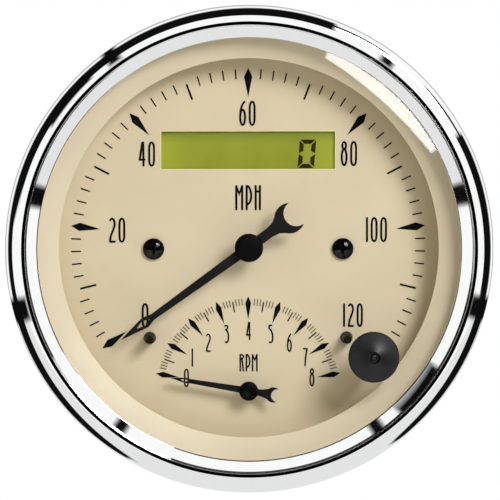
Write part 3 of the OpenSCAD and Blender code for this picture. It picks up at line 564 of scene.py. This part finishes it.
# Each glyph is a list of strokes in a box one wide and one high. A stroke is (kind, points): "line" keeps
# its corners, "curve" is smoothed, and "loop" is smoothed and closed.
STADIUM = [(1, 0.5), (1, 0.73), (0.93, 0.88), (0.76, 0.97), (0.5, 1), (0.24, 0.97), (0.07, 0.88), (0, 0.73),
           (0, 0.5), (0, 0.27), (0.07, 0.12), (0.24, 0.03), (0.5, 0), (0.76, 0.03), (0.93, 0.12), (1, 0.27)]
OVAL_POINTS = 12


def oval(x, y, rx, ry):
    """A round loop, by its middle and its half width and height."""
    angles = [2 * math.pi * i / OVAL_POINTS for i in range(OVAL_POINTS)]
    return ("loop", [(x + rx * math.cos(a), y + ry * math.sin(a)) for a in angles])


GLYPHS = {
    "0": [("loop", STADIUM)],
    "1": [("line", [(0, 0), (0, 1)])],
    "2": [("curve", [(0.05, 0.935), (0.4, 1.0), (0.78, 0.95), (0.98, 0.8), (0.88, 0.64), (0.5, 0.42),
                     (0.15, 0.22), (0.02, 0.0)]),
          ("line", [(0.02, 0.0), (1.0, 0.0)])],
    "3": [("curve", [(0.0, 0.965), (0.35, 1.0), (0.74, 0.94), (0.7, 0.83), (0.22, 0.75)]),
          ("curve", [(0.22, 0.75), (0.62, 0.68), (0.95, 0.49), (1.0, 0.32), (0.88, 0.1), (0.5, 0.0),
                     (0.12, 0.03)])],
    "4": [("line", [(0.8, 0), (0.74, 1)]), ("line", [(0.56, 1), (0.0, 0.26)]),
          ("line", [(0.56, 1), (0.74, 1)]), ("line", [(0.0, 0.26), (1.0, 0.26)])],
    "5": [("line", [(0.0, 1), (0.7, 1)]), ("line", [(0.0, 1), (0.0, 0.83)]),
          ("curve", [(0.0, 0.83), (0.5, 0.73), (0.93, 0.5), (1.0, 0.3), (0.88, 0.08), (0.5, 0.0),
                     (0.05, 0.02)])],
    "6": [("curve", [(0.86, 1.0), (0.38, 0.84), (0.08, 0.6), (0.0, 0.34)]), oval(0.5, 0.33, 0.5, 0.33)],
    "7": [("line", [(0, 1), (1, 1)]), ("curve", [(1, 1), (0.72, 0.66), (0.52, 0.32), (0.44, 0)])],
    "8": [oval(0.5, 0.85, 0.38, 0.15), oval(0.5, 0.35, 0.5, 0.35)],
    "M": [("line", [(0, 0), (0, 1)]), ("line", [(1, 0), (1, 1)]), ("line", [(0, 1), (0.5, 0.67), (1, 1)])],
    "P": [("line", [(0, 0), (0, 1)]),
          ("curve", [(0, 1), (0.35, 0.985), (0.74, 0.87), (0.97, 0.69), (1, 0.55), (0.88, 0.4), (0.55, 0.27),
                     (0, 0.19)])],
    "H": [("line", [(0, 0), (0, 1)]), ("line", [(1, 0), (1, 1)]), ("line", [(0, 0.77), (1, 0.77)])],
    "R": [("line", [(0, 0), (0, 1)]),
          ("curve", [(0, 1), (0.45, 0.995), (0.92, 0.93), (0.93, 0.83), (0.5, 0.765), (0, 0.76)]),
          ("curve", [(0.5, 0.765), (0.72, 0.4), (0.92, 0.0)])],
}
# Letters that are wider or narrower than the figures
GLYPH_WIDTH = {"M": 1.2, "H": 0.95}
CURVE_STEPS = 5
STROKE_END_STEPS = 6
# A corner's mitre is at most the pen's half width over this
MITRE_LIMIT = 0.5

# Middles of the figures, and their sizes: height, width, pen and gap
SPEED_FIGURES = {
    "0": (-29.13, -19.6), "20": (-36.98, 4.58), "40": (-28.56, 26.03), "60": (-0.23, 37.5),
    "80": (28.41, 26.12), "100": (36.25, 4.64), "120": (29.64, -19.57),
}
TACH_FIGURES = {
    "0": (-17.48, -37.3), "1": (-15.8, -31.53), "2": (-11.26, -27.32), "3": (-6.07, -24.85),
    "4": (0.1, -24.0), "5": (6.43, -24.87), "6": (11.65, -27.38), "7": (16.15, -31.48), "8": (18.04, -37.2),
}
SPEED_SIZE = (7.1, 1.95, 0.60, 0.73)
TACH_SIZE = (5.24, 1.44, 0.45, 0.5)
OWN_SIZES = {"120": (6.72, 1.78, 0.58, 0.74)}
UNITS = {
    "MPH": ((-0.03, 13.7), (7.17, 1.89, 0.62, 0.66)),
    "RPM": ((0.1, -33.03), (5.02, 1.39, 0.45, 0.35)),
}


def smooth(points, closed):
    """Points along a curve that passes through the given ones."""
    count = len(points)
    made = []
    for i in range(count if closed else count - 1):
        if closed:
            p = [points[(i + k) % count] for k in (-1, 0, 1, 2)]
        else:
            p = [points[min(max(i + k, 0), count - 1)] for k in (-1, 0, 1, 2)]
        for step in range(CURVE_STEPS):
            t = step / CURVE_STEPS
            made.append(tuple(
                0.5 * (2 * b + (c - a) * t + (2 * a - 5 * b + 4 * c - d) * t * t
                       + (3 * b - a - 3 * c + d) * t**3)
                for a, b, c, d in zip(*p)))
    return made if closed else made + [points[-1]]


def offset(points, closed, half):
    """The two sides of a stroke, with mitred corners."""
    count = len(points)
    sides = []
    for i, (x, y) in enumerate(points):
        before = points[i - 1] if closed or i else points[0]
        after = points[(i + 1) % count] if closed or i < count - 1 else points[-1]
        turns = [Vector((x - before[0], y - before[1])), Vector((after[0] - x, after[1] - y))]
        turns = [t.normalized() for t in turns if t.length > TINY]
        ahead = sum(turns, Vector((0, 0))).normalized()
        normal = Vector((-ahead.y, ahead.x))
        reach = half / max(abs(normal.dot(Vector((-turns[0].y, turns[0].x)))), MITRE_LIMIT)
        sides.append(((x + normal.x * reach, y + normal.y * reach),
                      (x - normal.x * reach, y - normal.y * reach)))
    return sides


def ribbon(points, closed, half):
    """Flat verts and faces of a stroke with round ends."""
    sides = offset(points, closed, half)
    flat = [corner for pair in sides for corner in pair]
    count = len(sides)
    faces = [[2 * i + 1, 2 * i + 3, 2 * i + 2, 2 * i] for i in range(count - 1)]
    if closed:
        faces.append([2 * count - 1, 1, 0, 2 * count - 2])
        return flat, faces
    for i, j in ((0, 1), (count - 1, count - 2)):
        x, y = points[i]
        back = math.degrees(math.atan2(y - points[j][1], x - points[j][0]))
        end = arc(x, y, half, back - 90, back + 90, STROKE_END_STEPS)[1:-1]
        first = len(flat)
        flat += end
        corners = (2 * i, 2 * i + 1) if i == 0 else (2 * i + 1, 2 * i)
        faces.append([corners[0], *range(first, first + len(end)), corners[1]])
    return flat, faces


def word(text, middle, height, width, pen, gap):
    """Strokes of a word as plates on the dial, each a hair above the one before it."""
    wide = [pen if c == "1" else width * GLYPH_WIDTH.get(c, 1.0) for c in text]
    x = middle[0] - (sum(wide) + gap * (len(text) - 1)) / 2
    low = middle[1] - height / 2 + pen / 2
    made = []
    for c, w in zip(text, wide):
        for layer, (kind, points) in enumerate(GLYPHS[c]):
            spots = [(x + pen / 2 + px * (w - pen), low + py * (height - pen)) for px, py in points]
            closed = kind == "loop"
            if kind != "line":
                spots = smooth(spots, closed)
            top = DIAL_Z + PRINT_T + layer * LAYER_STEP
            made.append(plate(*ribbon(spots, closed, pen / 2), DIAL_Z, top))
        x += w + gap
    return made


def print_figures():
    """The figures of both scales, and the letters of their units."""
    speed = [part for text, middle in SPEED_FIGURES.items()
             for part in word(text, middle, *OWN_SIZES.get(text, SPEED_SIZE))]
    piece("speed_numerals", *join(speed), "gauge", "scale_ink")
    tach = [part for text, middle in TACH_FIGURES.items() for part in word(text, middle, *TACH_SIZE)]
    piece("tach_numerals", *join(tach), "gauge", "scale_ink")
    units = [part for text, (middle, size) in UNITS.items() for part in word(text, middle, *size)]
    piece("unit_letters", *join(units), "gauge", "scale_ink")


# Pieces


def bezel():
    """A bead crowned up to a narrow flat crest, then a step down to a shallow bevel with a rounded lip."""
    tilt = math.radians(CROWN_TILT)
    crown_r = BEAD_R + (SHOULDER_R - CREST_OUT_R) / math.sin(tilt)
    bead_z = BEZEL_H - crown_r * (1 - math.cos(tilt)) - BEAD_R * math.cos(tilt)
    slope = (CREASE_Z - LIP_FRONT) / (CREASE_R - LIP_R)
    lean = math.degrees(math.atan(slope))

    def bevel_z(r):
        return CREASE_Z - (CREASE_R - r) * slope

    crease_in_r = CREST_IN_R - CREST_ROUND - CREASE_ROUND
    crease_mid_z = bevel_z(crease_in_r) + CREASE_ROUND / math.cos(math.radians(lean))
    profile = [(HEM_IN_R, 0.0), (BEZEL_R - HEM_CHAMFER, 0.0), (BEZEL_R, HEM_CHAMFER)]
    profile += arc(SHOULDER_R, bead_z, BEAD_R, 0, 90 - CROWN_TILT, BEAD_STEPS)
    profile += arc(CREST_OUT_R, BEZEL_H - crown_r, crown_r, 90 - CROWN_TILT, 90, CROWN_STEPS)[1:]
    profile += [(CREST_IN_R + CORNER_FLAT, BEZEL_H)]
    profile += arc(CREST_IN_R, BEZEL_H - CREST_ROUND, CREST_ROUND, 90, 180, CREST_STEPS)
    profile += arc(crease_in_r, crease_mid_z, CREASE_ROUND, 0, lean - 90, CREASE_STEPS)
    profile += [(r, bevel_z(r)) for r in (crease_in_r, LIP_R + CORNER_FLAT)]
    profile += arc(LIP_R, LIP_FRONT - LIP_ROUND, LIP_ROUND, 90 + lean, 180, LIP_STEPS)
    profile += [(LIP_R - LIP_ROUND, LENS_FRONT), (SHOULDER_R, LENS_FRONT)]
    profile += arc(SHOULDER_R, BEZEL_H - BEAD_R, BEAD_R - BEZEL_WALL, 90, 0, POCKET_STEPS)
    profile += [(POCKET_R, BEZEL_WALL), (HEM_IN_R, BEZEL_WALL)]
    piece("bezel", *revolve(profile, BEZEL_SEGMENTS, True), "gauge", "bezel_chrome", ["bezel_ring"])


def hub_cap(name, size, middle, body, node, dish=()):
    """A hand's round cap, bored for the spindle, with a flat or a dished top."""
    r, top, height, rounding, bore = size
    low = top - height
    profile = [*dish] if dish else [(0.0, top)]
    profile += arc(r - rounding, top - rounding, rounding, 90, 0, CAP_STEPS)
    profile += [(r, low), (bore, low), (bore, low + CAP_BORE_DEPTH), (0.0, low + CAP_BORE_DEPTH)]
    piece(name, *revolve(profile, CAP_SEGMENTS, False, *middle), body, "cap_black", [node])


def dished_top(top):
    """Profile of a shallow dish from its middle to its mouth."""
    r = (TACH_DISH_R**2 + TACH_DISH_DEPTH**2) / (2 * TACH_DISH_DEPTH)
    reach = math.degrees(math.asin(TACH_DISH_R / r))
    dish = arc(0.0, top - TACH_DISH_DEPTH + r, r, -90, -90 + reach, TACH_DISH_STEPS)
    return [(abs(x), z) for x, z in dish]


def trip_top_z(r):
    """Height of the trip button's top at a radius."""
    out = r - DIMPLE_R
    fall = TRIP_RIM_FALL * (1 - math.exp(-out / TRIP_RIM_RUN))
    return TRIP_RIM_Z - fall - TRIP_TOP_SLOPE * out


def trip_button():
    """A rubber cap with a nib in its dimple, hollow below with a boss for the stem."""
    well = TRIP_TOP - DIMPLE_DEPTH
    nib = TRIP_TOP - NIB_SUNK
    first, last = DIMPLE_R + RIM_W, TRIP_CAP_R - EDGE_ROUND
    radii = [first + (last - first) * i / TRIP_TOP_STEPS for i in range(TRIP_TOP_STEPS + 1)]
    inner = TRIP_CAP_R - TRIP_WALL
    profile = [(0.0, nib)] + [(NIB_R - aside, nib - down) for aside, down in NIB_EDGE]
    profile += [(NIB_R, well + DIMPLE_FILLET), (NIB_R + DIMPLE_FILLET, well)]
    profile += [(DIMPLE_R - DIMPLE_FILLET, well), (DIMPLE_R, well + DIMPLE_FILLET)]
    profile += [(DIMPLE_R + aside, trip_top_z(DIMPLE_R) - down) for aside, down in RIM_EDGE]
    profile += [(r, trip_top_z(r)) for r in radii]
    profile += [(TRIP_CAP_R - aside, TRIP_SKIRT_TOP - down) for aside, down in SKIRT_EDGE]
    profile += [(TRIP_CAP_R, TRIP_SKIRT_Z + SKIRT_CHAMFER), (TRIP_CAP_R - SKIRT_CHAMFER, TRIP_SKIRT_Z)]
    profile += [(inner, TRIP_SKIRT_Z), (inner, TRIP_ROOF), (TRIP_BOSS_R, TRIP_ROOF)]
    profile += [(TRIP_BOSS_R, TRIP_SKIRT_Z), (TRIP_BORE_R, TRIP_SKIRT_Z), (TRIP_BORE_R, TRIP_ROOF)]
    profile += [(0.0, TRIP_ROOF)]
    verts, faces = revolve(profile, CAP_SEGMENTS, False, *TRIP_XY)
    piece("trip_button_cap", verts, faces, "trip_button", "button_rubber", ["trip_cap"])


def trip_return_spring():
    """A coil under the trip button."""
    steps = SPRING_TURNS * SPRING_STEPS
    low, high = SPRING_Z
    points = []
    for i in range(steps + 1):
        a = 2 * math.pi * SPRING_TURNS * i / steps
        z = low + (high - low) * i / steps
        points.append((TRIP_XY[0] + SPRING_R * math.cos(a), TRIP_XY[1] + SPRING_R * math.sin(a), z))
    verts, faces = tube(points, SPRING_WIRE_R, SPRING_SIDES)
    spring = piece("trip_return_spring", verts, faces, "gauge", "spindle_steel", ["trip_spring"])
    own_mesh(spring)


def window_box(margin):
    """Corners of a box round the display's window."""
    w, h = WINDOW_W / 2 + margin, WINDOW_H / 2 + margin
    return [(-w, DISPLAY_Y - h), (w, DISPLAY_Y - h), (w, DISPLAY_Y + h), (-w, DISPLAY_Y + h)]


def display_border():
    """Thin pale line printed round the dial's window; its material has a painted glow."""
    flat = window_box(BORDER_W) + window_box(0.0)
    faces = [[i, (i + 1) % 4, 4 + (i + 1) % 4, 4 + i] for i in range(4)]
    piece("display_border", *plate(flat, faces, DIAL_Z, DIAL_Z + BORDER_T), "gauge", "display_edge")


def display_digit():
    """One slanted seven-bar zero, with its middle bar unlit."""
    bars = []
    for points in DIGIT_BARS:
        flat = [(DIGIT_X + x * DIGIT_W + y * DIGIT_SLANT, DIGIT_Y + y * DIGIT_H) for x, y in points]
        bars.append(plate(flat, [list(range(len(flat)))], DISPLAY_FRONT, DISPLAY_FRONT + DIGIT_T))
    piece("display_digit", *join(bars), "gauge", "display_ink")


def stud(x):
    """A plain shoulder, then a threaded end with a chamfered tip."""
    core = STUD_R - THREAD_DEPTH
    length = STUD_SHOULDER_END - STUD_END
    count = int(length / STUD_PITCH * THREAD_ROWS)
    heights = [STUD_SHOULDER_END - length * i / count for i in range(1, count)]
    angles = [2 * math.pi * j / STUD_SEGMENTS for j in range(STUD_SEGMENTS)]

    def thread_r(z, a):
        taper = min((z - STUD_END) / STUD_PITCH, 1.0)
        phase = (z / STUD_PITCH + a / (2 * math.pi)) % 1.0
        return STUD_R - THREAD_DEPTH * max(abs(2 * phase - 1), THREAD_RUN_OUT - THREAD_RUN_OUT * taper)

    def plain(r):
        return [r] * STUD_SEGMENTS

    rings = [(STUD_TOP, plain(STUD_SHOULDER_R)), (STUD_SHOULDER_END, plain(STUD_SHOULDER_R))]
    rings += [(STUD_SHOULDER_END, plain(core))]
    rings += [(z, [thread_r(z, a) for a in angles]) for z in heights]
    rings += [(STUD_END, plain(core))]
    verts, faces = [at(x, 0, STUD_TOP)], []
    for z, radii in rings:
        verts += [at(x + r * math.cos(a), r * math.sin(a), z) for r, a in zip(radii, angles)]
    verts.append(at(x, 0, STUD_END))
    firsts = [1 + i * STUD_SEGMENTS for i in range(len(rings))]
    sides = [(j, (j + 1) % STUD_SEGMENTS) for j in range(STUD_SEGMENTS)]
    for a, b in zip(firsts, firsts[1:]):
        faces += [[a + j, a + k, b + k, b + j] for j, k in sides]
    for j, k in sides:
        faces.append([0, firsts[0] + k, firsts[0] + j])
        faces.append([len(verts) - 1, firsts[-1] + j, firsts[-1] + k])
    return verts, faces


def studs():
    piece("threaded_studs", *join([stud(-STUD_X), stud(STUD_X)]), "gauge", "zinc_steel", ["mounting_studs"])


def soften_edges(node, width):
    """Rounds a stamped CAD node's edges a little."""
    shown = frame["nodes"][node]
    weld = shown.modifiers.new("weld", "WELD")
    weld.merge_threshold = WELD_REACH * MM
    bevel = shown.modifiers.new("edges", "BEVEL")
    bevel.width = width * MM
    bevel.segments = 2
    bevel.limit_method = "ANGLE"
    bevel.angle_limit = SHARP_ANGLE


# Stage

# Floor, in metres: it keeps the object's shadow, and fades to white away from the middle
FLOOR_HALF = 0.6
FLOOR_Z = -0.16
FLOOR_SHADES = ((0.86, 0.86, 0.86), (0.9, 0.9, 0.9))
FLOOR_FADE = (0.25, 0.55)
FLOOR_LEAST_WHITE = 0.55

# Soft light all round, and a round key light at the upper right, in metres from the dial's centre
AMBIENT = 0.50
AMBIENT_COLOUR = (1.0, 0.97, 0.78, 1.0)
KEY_WATTS = 5.7
KEY_COLOUR = (0.99, 0.985, 1.0)
KEY_SIZE = 0.36
KEY_TOWARDS = Vector((0.44, -0.765, 0.475))
KEY_DISTANCE = 0.9

# What mirrors see. A direction is told by its x and z, or by its angle off the front axis and its turn round
# the middle of what the flat glass mirrors, both in degrees.
MIRROR_MIDDLE = (0.0262, -0.0627)
# Levels by the angle alone, from the back to the front
RING = [(180, 0.45), (138, 0.5), (118, 1.0), (100, 1.0), (86, 0.005), (0, 0.005)]
DARK_LEVEL = 0.005
# White panels: a round one in front, and one at the side, by its spans of x and z
FRONT_PANEL = 0.30
SIDE_PANEL = ((-0.62, 0.0), (-0.19, 0.01))
# Pale table below
TABLE_TURN = 16.7
TABLE_RIGHT = 0.316
TABLE_LEFT = -0.43
TABLE_TOP = -0.13
TABLE_LEVEL = 0.81
# Wedges round the middle: turn, half width, and nearest and farthest angle
BRIGHT = [(49, 6.0, 10, 112), (49, 20.0, 10, 47), (49, 20.0, 66, 112)]
BRIGHT_LEVEL = 1.0
DARK = [(-36, 21.0, 24, 118), (-143, 23.0, 26, 118)]
GAPS = [(-14.2, 2.9, 6, 150), (-165.4, 2.9, 6, 150), (125.5, 1.7, 4.5, 150), (54, 1.7, 4.5, 20),
        (140.2, 7.7, 10, 90)]
GAP_LEVEL = 0.004
# The dark card round the camera keeps the glass clear, and a bright lamp shows beside a curved edge at the
# upper right.
CARD = 0.075
GLARE_EDGE = ((-0.0113, -0.1037), 0.106)
GLARE_END = 0.0542
GLARE_SPAN = (48.4, 19.8, 0, 90)
GLARE_LEVEL = 16.0
# Softness of the panels' edges, with the wedges' sides in degrees, and a number past every direction
PANEL_SOFT = 0.02
TABLE_SOFT = 0.01
GLARE_SOFT = 0.004
WEDGE_END_SOFT = 0.003
WEDGE_SIDE_SOFT = 0.8
BEYOND = 2.0
# Span over which a direction comes to face front
AHEAD = (0.5, 0.52)

# Camera: degrees to the right of the front axis and above it, metres from its aim, and millimetres of lens
CAMERA_TURN = -1.5
CAMERA_RISE = 3.6
CAMERA_DISTANCE = 1.1
CAMERA_AIM = at(0.1, -0.1, 7.0)
CAMERA_LENS = 284.5


def floor():
    """A white sheet under the object."""
    half, z = FLOOR_HALF, FLOOR_Z
    mesh = bpy.data.meshes.new("floor")
    corners = [(-half, -half, z), (half, -half, z), (half, half, z), (-half, half, z)]
    mesh.from_pydata(corners, [], [(0, 1, 2, 3)])
    made = bpy.data.objects.new("floor", mesh)
    made.visible_glossy = False
    scene.collection.objects.link(made)
    material, tree, output, coords = start("floor_white")
    paper = shades(tree, noise(tree, coords, size=40.0), *FLOOR_SHADES)
    diffuse = add(tree, "BsdfDiffuse", {"Color": paper})
    white = add(tree, "Emission", {"Strength": 1.0})
    path = add(tree, "LightPath")
    seen = largest(tree, path.outputs["Is Camera Ray"], path.outputs["Is Glossy Ray"],
                   path.outputs["Is Transmission Ray"])
    fade = spread(tree, measure(tree, "LENGTH", coords), FLOOR_LEAST_WHITE, 1.0, FLOOR_FADE)
    share = fold(tree, "MULTIPLY", seen, fade)
    mix = add(tree, "MixShader", {0: share, 1: diffuse.outputs["BSDF"], 2: white.outputs["Emission"]})
    tree.links.new(mix.outputs["Shader"], output.inputs["Surface"])
    mesh.materials.append(material)


def facing(angle):
    """How far a direction at an angle off the front axis faces front, from 0 to 1."""
    return 0.5 + 0.5 * math.cos(math.radians(angle))


def along(tree, direction, turn):
    """How far a direction goes towards turn, in degrees round the front axis."""
    a = math.radians(turn)
    return measure(tree, "DOT_PRODUCT", direction, (math.cos(a), 0, math.sin(a)))


def between(tree, value, low, high, soft):
    """One where a value lies between low and high."""
    return smallest(tree, spread(tree, value, 0.0, 1.0, (low - soft, low + soft)),
                    spread(tree, value, 1.0, 0.0, (high - soft, high + soft)))


def inside_circle(tree, direction, middle, r, soft):
    """One where a direction's x and z lie in a circle."""
    moved = vector(tree, "SUBTRACT", direction, (middle[0], 0, middle[1]))
    sized = vector(tree, "MULTIPLY", moved, (1 / r, 0, 1 / r))
    return spread(tree, measure(tree, "LENGTH", sized), 1.0, 0.0, (1 - soft, 1 + soft))


def wedge(tree, side, front, turn, half, near, far):
    """One in a wedge that runs outwards."""
    edge, soft = math.radians(half), math.radians(WEDGE_SIDE_SOFT)
    width = spread(tree, along(tree, side, turn), 0.0, 1.0, (math.cos(edge + soft), math.cos(edge - soft)))
    return smallest(tree, width, between(tree, front, facing(far), facing(near), WEDGE_END_SOFT))


def blend_value(tree, share, first, second):
    """first where share is 0, second where it is 1."""
    return add(tree, "Mix", {0: share, 2: first, 3: second}).outputs[0]


def ring_level(tree, front):
    """Levels by the angle off the front axis alone."""
    ramp = add(tree, "ValToRGB", {"Fac": front})
    stops = ramp.color_ramp.elements
    while len(stops) < len(RING):
        stops.new(1.0)
    for stop, (angle, level) in zip(stops, RING):
        stop.position = facing(angle)
        stop.color = (level, level, level, 1.0)
    return ramp.outputs["Color"]


def panel_level(tree, direction):
    """White panels, a pale table below, a bright strip at the upper right, and dark between them."""
    axes = add(tree, "SeparateXYZ", {"Vector": direction})
    front = spread(tree, axes.outputs["Y"], 1.0, 0.0, (-1.0, 1.0))
    ahead = spread(tree, front, 0.0, 1.0, AHEAD)
    moved = vector(tree, "SUBTRACT", direction, (MIRROR_MIDDLE[0], 0, MIRROR_MIDDLE[1]))
    side = vector(tree, "NORMALIZE", vector(tree, "MULTIPLY", moved, (1, 0, 1)))

    def wedges(spots):
        return largest(tree, *[wedge(tree, side, front, *spot) for spot in spots])

    panel = largest(tree, inside_circle(tree, direction, MIRROR_MIDDLE, FRONT_PANEL, PANEL_SOFT),
                    smallest(tree, between(tree, axes.outputs["X"], *SIDE_PANEL[0], PANEL_SOFT),
                             between(tree, axes.outputs["Z"], *SIDE_PANEL[1], PANEL_SOFT)))
    level = blend_value(tree, smallest(tree, ahead, panel), ring_level(tree, front), 1.0)
    level = blend_value(tree, wedges(DARK), level, DARK_LEVEL)
    level = blend_value(tree, wedges(BRIGHT), level, BRIGHT_LEVEL)
    across = along(tree, direction, TABLE_TURN)
    table = smallest(tree, between(tree, across, -BEYOND, TABLE_RIGHT, PANEL_SOFT),
                     between(tree, axes.outputs["X"], TABLE_LEFT, BEYOND, PANEL_SOFT),
                     between(tree, axes.outputs["Z"], -BEYOND, TABLE_TOP, TABLE_SOFT))
    level = blend_value(tree, table, level, TABLE_LEVEL)
    level = blend_value(tree, wedges(GAPS), level, GAP_LEVEL)
    card = smallest(tree, ahead, inside_circle(tree, direction, MIRROR_MIDDLE, CARD, PANEL_SOFT))
    level = blend_value(tree, card, level, 0.0)
    kept = inside_circle(tree, direction, *GLARE_EDGE, GLARE_SOFT)
    glare = smallest(tree, ahead, spread(tree, kept, 1.0, 0.0, (0.0, 1.0)),
                     inside_circle(tree, direction, MIRROR_MIDDLE, GLARE_END, GLARE_SOFT),
                     wedges([GLARE_SPAN]))
    return blend_value(tree, glare, level, GLARE_LEVEL)


def studio():
    """White surroundings and soft light all round; what shines sees the panels."""
    world = bpy.data.worlds.new("studio")
    scene.world = world
    world.use_nodes = True
    tree = world.node_tree
    tree.nodes.clear()
    output = add(tree, "OutputWorld")
    path = add(tree, "LightPath")
    direction = add(tree, "TexCoord").outputs["Generated"]
    shine = add(tree, "Background", {"Color": panel_level(tree, direction), "Strength": 1.0})
    soft = add(tree, "Background", {"Color": AMBIENT_COLOUR, "Strength": AMBIENT})
    white = add(tree, "Background", {"Color": (1, 1, 1, 1), "Strength": 1.0})
    mirrored = largest(tree, path.outputs["Is Glossy Ray"], path.outputs["Is Transmission Ray"])
    lit = add(tree, "MixShader", {0: mirrored, 1: soft.outputs["Background"], 2: shine.outputs["Background"]})
    seen = add(tree, "MixShader", {
        0: path.outputs["Is Camera Ray"], 1: lit.outputs["Shader"], 2: white.outputs["Background"]})
    tree.links.new(seen.outputs["Shader"], output.inputs["Surface"])


def key_light():
    """The lamp at the upper right, turned to the dial's centre."""
    data = bpy.data.lights.new("key", "AREA")
    data.energy = KEY_WATTS
    data.color = KEY_COLOUR
    data.shape = "DISK"
    data.size = KEY_SIZE
    made = bpy.data.objects.new("key", data)
    made.location = KEY_TOWARDS.normalized() * KEY_DISTANCE
    made.rotation_euler = (-KEY_TOWARDS).to_track_quat("-Z", "Y").to_euler()
    scene.collection.objects.link(made)


def camera():
    """The photograph's view: from the front, a little above and to the left."""
    turn, rise = math.radians(CAMERA_TURN), math.radians(CAMERA_RISE)
    back = Vector((math.sin(turn) * math.cos(rise), -math.cos(turn) * math.cos(rise), math.sin(rise)))
    data = bpy.data.cameras.new("camera")
    data.lens = CAMERA_LENS
    made = bpy.data.objects.new("camera", data)
    made.location = CAMERA_AIM + back * CAMERA_DISTANCE
    made.rotation_euler = (-back).to_track_quat("-Z", "Y").to_euler()
    scene.collection.objects.link(made)
    scene.camera = made


scene.view_settings.view_transform = "Standard"
dress_nodes()
bezel()
hub_cap("speed_cap", SPEED_CAP, (0.0, 0.0), "speed_pointer", "speed_hub_cap")
hub_cap("tach_cap", TACH_CAP, (0.0, TACH_Y), "tach_pointer", "tach_hub_cap", dished_top(TACH_CAP[1]))
trip_button()
trip_return_spring()
print_figures()
display_border()
display_digit()
studs()
for node in HANDS:
    soften_edges(node, HAND_EDGE)
studio()
key_light()
floor()
camera()
